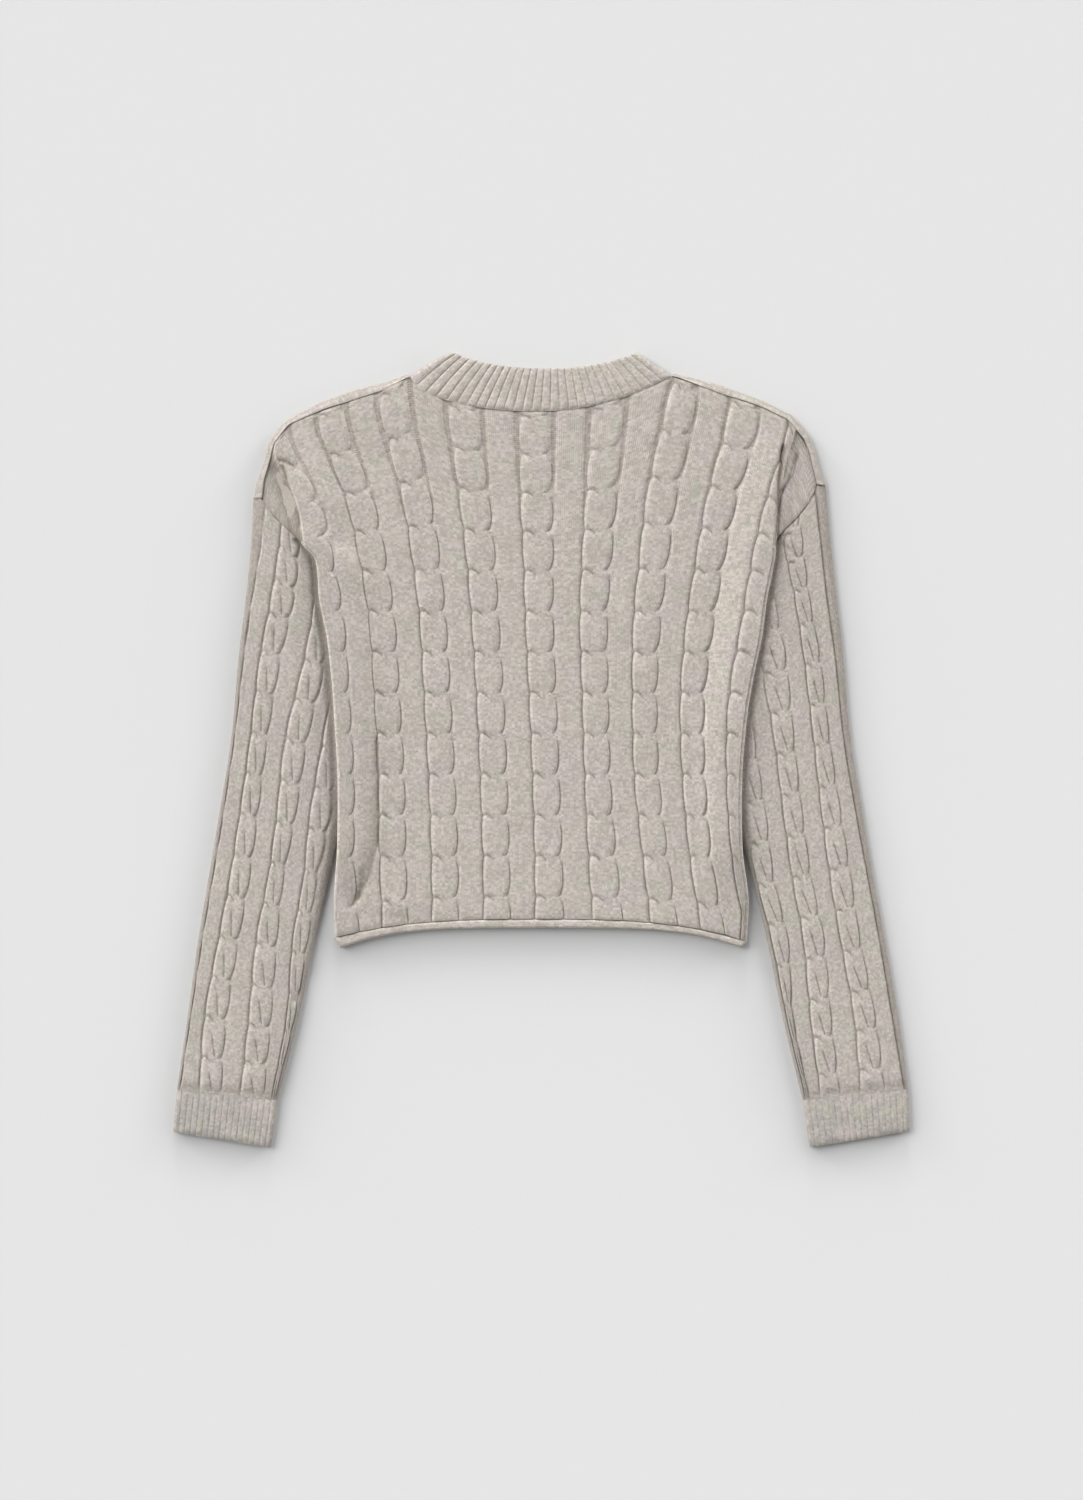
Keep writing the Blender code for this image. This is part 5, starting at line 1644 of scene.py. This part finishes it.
def under_stops(count):
    """Columns of the upper side that the plain lower side shares, from the inner fold back."""
    picks = [at for at in range(0, count, 6)] + [count - 2, count - 3, 1, 2, 3]
    return sorted({at for at in picks if 0 < at < count - 1}, reverse=True)


def fold_shares(count):
    """How far past a fold each column of the upper side lies: 0 at the edge, 1 where it is flat."""
    shares = np.ones(count)
    shares[:EDGE_RUN] = EDGE_STOPS
    shares[count - EDGE_RUN:] = EDGE_STOPS[::-1]
    return shares


def sleeve_points(sign, lines, stations, heights):
    """Where every column meets every row, on the upper side and on the lower one."""
    back_edge = armhole_edge(sign, SLEEVE_CLEARANCES[sign])
    front_edge = armhole_edge(sign, UNDER_DROP)
    upper, lower = [], []
    for band, s, _, _ in stations:
        def line(y, a=lines[band], b=lines[band + 1], s=s):
            return mix(a(y), b(y), s)

        upper.append(sleeve_place(sign, line, lines[0], heights, back_edge))
        lower.append(sleeve_place(sign, line, lines[0], heights, front_edge))
    return np.array(upper).transpose(1, 2, 0), np.array(lower).transpose(1, 2, 0)


print("a sleeve has", len(sleeve_stations(-1)[0]), "columns above and",
      len(under_stops(len(sleeve_stations(-1)[0]))), "below")

# %% [markdown]
# ### What a sleeve's points know
#
# As on the back, each point knows its band and its crossing. Where the body's side lies over the sleeve,
# the relief is pressed flat: `free` is 0 there. The strands of these narrow ropes lie apart, which shows as
# a thin gap: a shallow groove with shade painted into it.

# %% Sleeve: knit
PARTED = 0.9
SLEEVE_SLACK = 0.010
SLEEVE_WALES = 9.0  # in every band, rope or rib
OUTER_GROOVE_SHADES = (0.15, 0.60)  # shade painted in the groove along each sleeve's outer side
PRESSED = (1.5, 7.0)  # distance from the body's side at which the sleeve is free, and over what run
CUFF_HOLD, ARMHOLE_HOLD = (0.25, 10), (0.75, 5)


def lies_free(sign, sx, sy):
    """1 where nothing lies on the sleeve, 0 where the body's side presses it down."""
    which = which_side(sign)
    free = step(((sx - side[which](sy)) * sign - PRESSED[0]) / PRESSED[1])
    return np.where(sy < ARMPIT[which] + 3, free, 1.0)


def sleeve_knit(sign, stations, heights, sx, free, under):
    """The shell's facts for the upper side, and plain ones for the lower side."""
    def wide(values, fill=0.0):
        return np.concatenate([np.broadcast_to(values, sx.shape), np.full((len(sx), len(under)), fill)], 1)

    above_cuff = (heights - SLEEVE_END[sign])[:, None]
    below_top = (SLEEVE_TOP[sign] - heights)[:, None]
    shares = fold_shares(len(stations))
    raised = held(CUFF_HOLD, above_cuff) * held(ARMHOLE_HOLD, below_top) * free
    raised = raised * round_fold(shares) ** 2
    kinds = np.array([kind for _, _, kind, _ in stations])
    from_outer_line = np.abs(sx - sx[:, [EDGE_RUN]])
    # Shade painted in the groove along the sleeve's outer side.
    outer_groove_shade = OUTER_GROOVE_SHADES[max(sign, 0)] * np.exp(-(from_outer_line / 0.9) ** 2)
    seam_shade = ARMHOLE_SHADES[max(sign, 0)] * np.exp(-below_top / 1.4)
    turn = ((SLEEVE_CROSSING[sign] - heights) / PERIOD)[:, None]
    return {"across": wide([t for _, _, _, t in stations], 0.5),
            "turn": np.broadcast_to(turn, (len(heights), len(stations) + len(under))),
            "cable": wide(np.where(kinds == "rope", raised, 0)),
            "rib": wide(np.where(kinds == "rib", raised, 0)),
            "slack": wide(SLEEVE_SLACK + 0 * sx),
            "parted": wide(PARTED + 0 * sx),
            # Shade painted along the armhole seam, on the folds and in the outer groove.
            "seam": wide(seam_shade + (1 - shares) * FOLD_SHADE + outer_groove_shade)}


def sleeve_stitches(stations, heights, under):
    """Wales across, counted on round the lower side, and courses up."""
    wale = np.array([(band + s) * SLEEVE_WALES for band, s, _, _ in stations])
    wale = np.concatenate([wale, wale[-1] + (wale[-1] - wale[under])])
    return wale, np.broadcast_to((heights / COURSE_HEIGHT)[:, None], (len(heights), len(wale)))


print("strands parted by", PARTED, "on the sleeves, slack", SLEEVE_SLACK)

# %% [markdown]
# ### The tube
#
# The upper side rises from the fold, swells a little along its middle and dips at the armhole. The inside
# of the tube is plain, with far fewer points, and at each fold it stays a wall's thickness away.

# %% Sleeve: height and inner side
CREASES_LEFT = (
    (((-211, -205), (-222, -226)), 2.5, 2.5, 1.5),
)
CREASES_RIGHT = (
    (((200, 88), (209, 85)), 1.5, 1.5, 0.8),
    (((218, 184), (232, 172)), 1.8, 1.8, 0.9),
)
ROOM_STEP = 8  # the inner side keeps one column in 8
ROOM_ROWS = 7  # and one row in 7
ROOM_PUFF = 0.6  # how much of the upper side's swell the inner side follows
THIN_WALL = 0.8  # least wall, as a share of its thickness
TOP_TUCK = 1.0  # how far the inner side stays below the armhole


def across_sleeve(sx):
    return np.abs(sx - sx[:, :1]) / np.abs(sx[:, -1:] - sx[:, :1])


def sleeve_height(sign, heights, sx, sy, free, creases):
    """Height of the upper side."""
    above_cuff = (heights - SLEEVE_END[sign])[:, None]
    below_top = (SLEEVE_TOP[sign] - heights)[:, None]
    dip = ARMHOLE_DIPS[max(sign, 0)] * np.exp(-below_top / 1.6)
    puff = PUFF * np.sin(math.pi * across_sleeve(sx)) * free * held((0.5, 14), above_cuff)
    curve = round_fold(fold_shares(sx.shape[1]))
    return mix(TUBE_HALF, 2 * TUBE_HALF + puff, curve) - (dip + dents(sx, sy, creases)) * curve


def sleeve_room(sx, sy, z, ux, uy, cols, below_cols):
    """Points of the tube's inner side, column by column: its roof, then its floor."""
    across, room = across_sleeve(sx), []
    for c in cols:
        swell = PUFF * np.sin(math.pi * across[:, c]) * ROOM_PUFF
        roof = np.minimum(TUBE_HALF + SLIT / 2 + swell, z[:, c] - WALL * THIN_WALL)
        room.append(np.stack([sx[:, c], sy[:, c], roof], -1))
    reach = (WALL / np.abs(sx[:, -1] - sx[:, 0]))[:, None]
    middle = np.full((len(sx), 1), TUBE_HALF)
    for at, toward in ((0, -1), (-1, 0)):
        edge = np.stack([sx[:, at], sy[:, at]], -1)
        other = np.stack([sx[:, toward], sy[:, toward]], -1)
        room[at] = np.concatenate([mix(edge, other, reach), middle], 1)
    for c in below_cols:
        room.append(np.stack([ux[:, c], uy[:, c], np.full(len(ux), WALL)], -1))
    return np.array(room).transpose(1, 0, 2)


print("the inner side has a row to every", ROOM_ROWS, "of the upper side")

# %% Sleeve: build
def build_sleeve(name, node, sign, table, creases, seed):
    lines = [columns(SLEEVE, table)[key] for key in SLEEVE[1:]]
    heights = knit_rows(SLEEVE_END[sign], SLEEVE_TOP[sign], SLEEVE_CROSSING[sign])
    stations, ends = sleeve_stations(sign)
    count = len(stations)
    under = under_stops(count)
    (sx, sy), (ux, uy) = sleeve_points(sign, lines, stations, heights)
    free = lies_free(sign, sx, sy)
    z = sleeve_height(sign, heights, sx, sy, free, creases)
    floor_z = mix(TUBE_HALF, 0.0, round_fold(fold_shares(count))) + 0 * ux
    skin = np.concatenate([np.stack([sx, sy, z], -1), np.stack([ux, uy, floor_z], -1)[:, under]], axis=1)
    inner_cols = range(EDGE_RUN + ROOM_STEP, count - EDGE_RUN - 4, ROOM_STEP)
    cols = [0, EDGE_RUN, *inner_cols, count - EDGE_RUN - 1, count - 1]
    rows = sorted(set(range(0, len(heights), ROOM_ROWS)) | {len(heights) - 1})
    below = [k for k, c in enumerate(under) if c in cols or k % 3 == 1]
    lining = sleeve_room(sx, sy, z, ux, uy, cols, [under[k] for k in below])[rows]
    lining[-1, :, 1] -= TOP_TUCK
    piece = make_shell(name, skin, lining, rows, cols + [count + k for k in below], True,
                       sleeve_knit(sign, stations, heights, sx, free, under),
                       sleeve_stitches(stations, heights, under), ends)
    return finish_piece(piece, CABLE_KNIT, node, "cable_knit", seed, (0.190, 0.545), 0.090, ["floor"])


build_sleeve("sleeve_left_tube", "sleeve_left", -1, SLEEVE_LEFT, CREASES_LEFT, 3.0)
build_sleeve("sleeve_right_tube", "sleeve_right", 1, SLEEVE_RIGHT, CREASES_RIGHT, 4.0)

# %% [markdown]
# ## Neckband and cuffs
#
# These are fine ribs: narrow raised wales between thin grooves. Each is a closed ring pressed flat, so one
# builder serves the neckband, both cuffs and the rolled hem. It takes a list of rows; a row says where the
# ring's upper and lower side run, how much it swells, and how far its two sides lean together at the
# free edge.

# %% Ribbed bands: one row of a ring
RIB_COLUMN = (0, .05, .13, .28, .5, .72, .87, .95)


def ring_row(row, half, t, u, cols, below):
    """A row's points, how far its ribs rise, the shade painted on its folds, and its lining; t runs over it,
    u back under.
    """
    over, under, swell, lean = row
    ox, oy = over(t)
    lx, ly = under(u)
    width = math.dist((ox[0], oy[0]), (ox[-1], oy[-1]))
    edge = np.minimum(1, np.minimum(t, 1 - t) * width / FOLD)
    lower_edge = np.minimum(1, np.minimum(u, 1 - u) * width / FOLD)
    top = mix(half, 2 * half - lean + swell, round_fold(edge))
    base = mix(half, lean, round_fold(lower_edge))
    points = np.concatenate([np.stack([ox, oy, top], -1), np.stack([lx, ly, base], -1)])
    rise = np.concatenate([round_fold(edge), np.zeros(len(u))])
    # Shade painted where the ring turns over its folded edges.
    shade = np.concatenate([(1 - edge) * FOLD_SHADE, np.zeros(len(u))])
    ix, iy = over(np.clip(t[cols], WALL / width, 1 - WALL / width))
    roof = np.full(len(cols), 2 * half - WALL)
    roof[[0, -1]] = half
    jx, jy = under(u[below])
    lining = np.concatenate([np.stack([ix, iy, roof], -1),
                             np.stack([jx, jy, np.full(len(below), WALL)], -1)])
    return points, rise, shade, lining


print("a rib has", len(RIB_COLUMN), "columns")

# %% Ribbed bands: the ring
WALES_TO_RIB = 2.6
ROW_SHARES = np.array([0, .012, .03, .07, .14, .25, .38, .5, .62, .75, .86, .93, .97, .988, 1.0])
BAND_HEIGHT = 40


def build_band(name, node, rows, ribs, half, fade, flat, area, rests_on, seed, under_count=40,
               plain=False, material=RIB_KNIT, **heights):
    """A flattened ring of ribs that fade out as `fade` says, row by row."""
    t = np.concatenate([(k + np.array(RIB_COLUMN)) / ribs for k in range(ribs)] + [[1.0]])
    u = np.linspace(1, 0, under_count + 2)[1:-1]
    cols = list(range(0, len(t), 8 if plain else 16))
    if cols[-1] != len(t) - 1:
        cols.append(len(t) - 1)
    below = list(range(1, under_count - 1, 3))
    made = [ring_row(row, half, t, u, cols, below) for row in rows]
    skin, rises, shades, inner = [np.array(part) for part in zip(*made)]
    raised = rises * np.array(fade)[:, None]
    rib_at = np.concatenate([t * ribs, np.full(len(u), 0.5)])
    # The `seam` entry is the shade painted on the ring's folded edges.
    knit = {"across": np.broadcast_to(rib_at, raised.shape), "turn": np.zeros(raised.shape),
            "fine": raised * (not plain), "seam": shades}
    over_wale = t * ribs * WALES_TO_RIB
    under_wale = ribs * WALES_TO_RIB + u[::-1] * ribs * WALES_TO_RIB
    climb = np.linalg.norm(np.diff(skin[:, len(t) // 2], axis=0), axis=1)
    course = np.concatenate([[0], np.cumsum(climb)])[:, None] / COURSE_HEIGHT
    keep = sorted(set(range(0, len(rows), 3)) | {len(rows) - 1})
    piece = make_shell(name, skin, inner[keep], keep, cols + [len(t) + k for k in below], True, knit,
                       (np.concatenate([over_wale, under_wale]), course), {})
    return finish_piece(piece, material, node, "rib_knit", seed, flat, area, rests_on, **heights)


print("a ribbed band has", len(ROW_SHARES), "rows over", BAND_HEIGHT, "mm")

# %% [markdown]
# ### The neckband
#
# It stands at the neck seam and leans in, so its free edge is shorter than its seam: the ribs fan out at
# the shoulders and crowd at the left fold. The lower, front half of the ring shows inside the neck
# opening. Each row is a mix of the seam and the free edge.

# %% Neckband
NECK_RIBS = 28
NECK_FOLD_LEFT = ((-118.0, 336.5), (-80.6, 358.0), 2.0)  # seam end, free end, bulge
NECK_FOLD_RIGHT = ((117.0, 338.5), (86.0, 358.0), 0.8)
NECK_EDGE_DIP = 14.5  # dip of the neckband's free edge at the back
NECK_CROWDING = (0.42, 0.085)  # how much narrower its ribs are at the left fold, and how far along
FRONT_EDGE_DROP = 68.0
NECK_PUFFS = (0.7, 1.2)  # swell of the band, and of its seam
NECK_FADE = (2.0, 0.35)  # run over which the ribs rise from the seam, and what is left at the edge

neck_front_x = np.array([x0 for x0, _ in goals if NECK_LEFT + 0.5 < x0 < NECK_RIGHT - 0.5])
corner_left = front_top(NECK_LEFT, float(neck_height(NECK_LEFT)))
corner_right = front_top(NECK_RIGHT, float(neck_height(NECK_RIGHT)))
front_seam = straight([corner_left, corner_right] + [(a, float(front_neck_height(a))) for a in neck_front_x])


def neck_fold(fold, share):
    """Where the neckband's fold is at a row: on the way from the seam to the free edge, bulging out."""
    seam_end, free_end, bulge = fold
    out = bulge * abs(math.sin(math.pi * share)) ** 0.6
    return mix(seam_end[0], free_end[0], share), mix(seam_end[1], free_end[1], share) + out


def neck_row(share):
    (x0, y0), (x1, y1) = neck_fold(NECK_FOLD_LEFT, share), neck_fold(NECK_FOLD_RIGHT, share)

    def path(t, back):
        drop, power = (NECK_EDGE_DIP, 1.0) if back else (FRONT_EDGE_DROP, 0.75)
        crowding, reach = NECK_CROWDING
        t = t * (1 - crowding * np.exp(-(t / reach) ** 2))
        dip = np.maximum(0, 1 - np.abs(2 * t - 1) ** 2.4) ** power
        at = mix(NECK_FOLD_LEFT[0][0], NECK_FOLD_RIGHT[0][0], t)
        level = mix(NECK_FOLD_LEFT[0][1], NECK_FOLD_RIGHT[0][1], t)
        seam = np.maximum(neck_height(at), front_seam(at)) if back else front_seam(at)
        below = level - seam - SEAM_DROP
        return mix(x0, x1, t), mix(y0, y1, t) - share * drop * dip - below * (1 - share)

    band_puff = NECK_PUFFS[0] * math.sin(math.pi * min(share * 1.15, 1.0)) ** 0.5
    puff = band_puff + NECK_PUFFS[1] * (1 - share) ** 4
    return (lambda t: path(t, True)), (lambda t: path(t, False)), puff, 0.0


from_seam = step(ROW_SHARES * BAND_HEIGHT / NECK_FADE[0])
from_edge = step((1 - ROW_SHARES) * BAND_HEIGHT / NECK_FADE[0])
neck_fade = from_seam * (NECK_FADE[1] + 0.65 * from_edge)
neck_rows = [neck_row(share) for share in ROW_SHARES]
build_band("neckband_ring", "neckband", neck_rows, NECK_RIBS, HALF_STACK, neck_fade,
           (0.52, 0.045), 0.0205, ["back", "front"], 5.0)

# %% [markdown]
# ### The cuffs
#
# The same ring, straight from corner to corner, in the greyer yarn. Where the sleeve is gathered into it
# the cuff is full, and at the free edge its two sides lean together.

# %% Cuffs
CUFF_RIBS = 17
CUFF_ENDS = {
    -1: ((-332.0, -344.0), (-243.5, -358.0)),
    1: ((332.0, -343.0), (241.5, -358.0)),
}

CUFF_GAP = 0.12  # clearance between sleeve and cuff
CUFF_PUFF = 0.9
CUFF_LEAN = 1.1
CUFF_RISE = 0.00055  # height of its ribs, in metres


def cuff_row(corners, ends, share):
    a = [mix(corners[0][i], ends[0][i], share) for i in (0, 1)]
    b = [mix(corners[1][i], ends[1][i], share) for i in (0, 1)]

    def path(t):
        return mix(a[0], b[0], t), mix(a[1], b[1], t)

    puff = CUFF_PUFF * max(0, math.cos(0.5 * math.pi * share)) ** 0.5
    return path, path, puff, CUFF_LEAN * step((share - 0.90) / 0.10) ** 2


def build_cuff(name, node, sign, table, seed):
    lines = columns(SLEEVE, table)
    seam = armhole_edge(sign, UNDER_DROP)
    start = np.array([SLEEVE_END[sign] - CUFF_GAP])
    corners = [[float(v[0]) for v in sleeve_place(sign, lines[key], lines["outer"], start, seam)]
               for key in ("outer", "inner")]
    rows = [cuff_row(corners, CUFF_ENDS[sign], share) for share in ROW_SHARES[::-1]]
    fade = 0.45 + 0.55 * step(ROW_SHARES[::-1] * BAND_HEIGHT / 8.0)
    return build_band(name, node, rows, CUFF_RIBS, TUBE_HALF, fade, (0.184, 0.043), 0.0079,
                      ["floor"], seed, under_count=24, material=CUFF_KNIT, fine_rib_height=CUFF_RISE)


build_cuff("cuff_left_ring", "cuff_left", -1, SLEEVE_LEFT, 6.0)
build_cuff("cuff_right_ring", "cuff_right", 1, SLEEVE_RIGHT, 7.0)

# %% [markdown]
# ## Rolled hem
#
# Left to itself, plain knitting curls up at its edge. This hem is such a roll, smooth and narrow, with half
# of its cloth turned under. It is built as one more flattened ring without ribs, whose upper side swells
# between the seam and the lower edge.

# %% Hem
HEM_ROLL = 1.3  # swell of the rolled hem
HEM_LEFT = (-187.0, -181.0)  # ends at the seam and at the lower edge
HEM_RIGHT = (185.0, 181.0)
HEM_GAP = 0.5  # clearance under the body's hem seam
HEM_EDGE = (-160.5, 18.0, 181.0)  # height of the lower edge, its drop at the ends, half its width
HEM_LEAN = 1.6
HEM_COLUMNS = 34
ROLL_SHARES = np.array([0, .03, .08, .16, .28, .42, .56, .70, .82, .91, .97, 1.0])


def hem_edge_height(x):
    middle, drop, half_width = HEM_EDGE
    return middle - drop * (np.abs(x) / half_width) ** 4


def hem_row(share):
    left = mix(HEM_LEFT[0], HEM_LEFT[1], share)
    right = mix(HEM_RIGHT[0], HEM_RIGHT[1], share)

    def path(t):
        at = mix(left, right, t)
        return at, mix(hem_height(at) - HEM_GAP, hem_edge_height(at), share)

    swell = HEM_ROLL * max(0, 1 - abs(2 * share - 1) ** 4) ** 0.6
    return path, path, swell, HEM_LEAN * step((share - 0.84) / 0.16) ** 2


hem_rows = [hem_row(share) for share in ROLL_SHARES[::-1]]
build_band("hem_roll", "hem_band", hem_rows, HEM_COLUMNS, HALF_STACK, np.ones(len(hem_rows)),
           (0.75, 0.012), 0.0085, ["floor"], 8.0, plain=True)

# %% [markdown]
# ## Studio
#
# The sweater lies on pale paper. A broad soft lamp from the upper left picks out the left flank of every
# rope, and a bright room all round fills the rest.
#
# Such a room leaves next to no shadow on the paper, so the sweater would seem to float. Three lamps low
# behind the neck set it down: they cast a wide soft shadow below the hem and the cuffs. They would change
# the light on the knit as well, so light linking lets them light the paper alone; the sweater still casts
# its shadow in their light.

# %% Floor
FLOOR_HALF = 40.0  # metres
PAPER = (0.647, 0.647, 0.647, 1)


def make_floor():
    corners = [(x * FLOOR_HALF, y * FLOOR_HALF, 0) for x, y in ((-1, -1), (1, -1), (1, 1), (-1, 1))]
    mesh = bpy.data.meshes.new("floor")
    mesh.from_pydata(corners, [], [(0, 1, 2, 3)])
    floor = bpy.data.objects.new("floor", mesh)
    bpy.context.scene.collection.objects.link(floor)
    material = bpy.data.materials.new("floor_paper")
    material.use_nodes = True
    paper = material.node_tree.nodes["Principled BSDF"]
    paper.inputs["Base Color"].default_value = PAPER
    paper.inputs["Roughness"].default_value = 0.9
    paper.inputs["Specular IOR Level"].default_value = 0.1
    mesh.materials.append(material)
    return floor


floor = make_floor()
print("floor:", 2 * FLOOR_HALF, "m wide")

# %% Light
WINDOW = ((-0.80, 0.42, 0.62), 38, 1.90)  # direction, apparent size in degrees, strength
LOW_LAMPS = (((-0.75, 0.65, 0.105), 8, 1.95), ((0.0, 1.0, 0.105), 8, 1.95), ((0.75, 0.65, 0.105), 8, 1.95))
OVERHEAD = 0.15  # strength of the room's even light
LOW_BAND = 3.65  # strength of its bright band low down
NECKWARD = 0.95  # how much brighter that band is behind the neck


def make_sun(name, toward, softness, strength):
    """A distant lamp seen in the direction `toward`; softness is its apparent size in degrees."""
    lamp = bpy.data.lights.new(name, "SUN")
    lamp.angle = math.radians(softness)
    lamp.energy = strength
    holder = bpy.data.objects.new(name, lamp)
    bpy.context.scene.collection.objects.link(holder)
    holder.rotation_euler = Vector(toward).to_track_quat("Z", "Y").to_euler()
    return holder


def make_room(overhead, low):
    """A white room: even light from above, and a brighter band low down, most of all behind the neck."""
    world = bpy.data.worlds.new("room")
    world.use_nodes = True
    tree = world.node_tree
    _, neckward, height = split_vector(tree, tree.nodes.new("ShaderNodeTexCoord").outputs["Generated"])
    band = (height - 0.20).bell(0.20) * (1 + neckward * NECKWARD)
    strength = band * low + overhead
    tree.nodes["Background"].inputs["Color"].default_value = (1, 1, 1, 1)
    tree.links.new(strength.socket, tree.nodes["Background"].inputs["Strength"])
    bpy.context.scene.world = world


make_sun("window", *WINDOW)
paper_only = bpy.data.collections.new("paper_only")
paper_only.objects.link(floor)
for toward, softness, strength in LOW_LAMPS:
    lamp = make_sun("low_lamp", toward, softness, strength)
    lamp.light_linking.receiver_collection = paper_only
make_room(OVERHEAD, LOW_BAND)

# %% [markdown]
# ## Camera
#
# The camera looks straight down from a few metres up through a long lens, so the sleeves aren't seen from
# the side. The Standard view transform keeps the yarn's pale colours as they are set.

# %% Camera
LENS = 85.0
SENSOR = 36.0
VIEW_HEIGHT = 1.35  # metres of floor from the frame's top to its foot
MIDDLE = 0.005  # the sweater's middle height, in metres

camera = bpy.data.cameras.new("camera")
camera.type = "PERSP"
camera.lens = LENS
camera.sensor_width = SENSOR
camera_object = bpy.data.objects.new("camera", camera)
camera_object.location = (0, 0, VIEW_HEIGHT * LENS / SENSOR + MIDDLE)
bpy.context.scene.collection.objects.link(camera_object)
bpy.context.scene.camera = camera_object
bpy.context.scene.view_settings.view_transform = "Standard"
print("camera", round(camera_object.location.z, 3), "m above the floor")
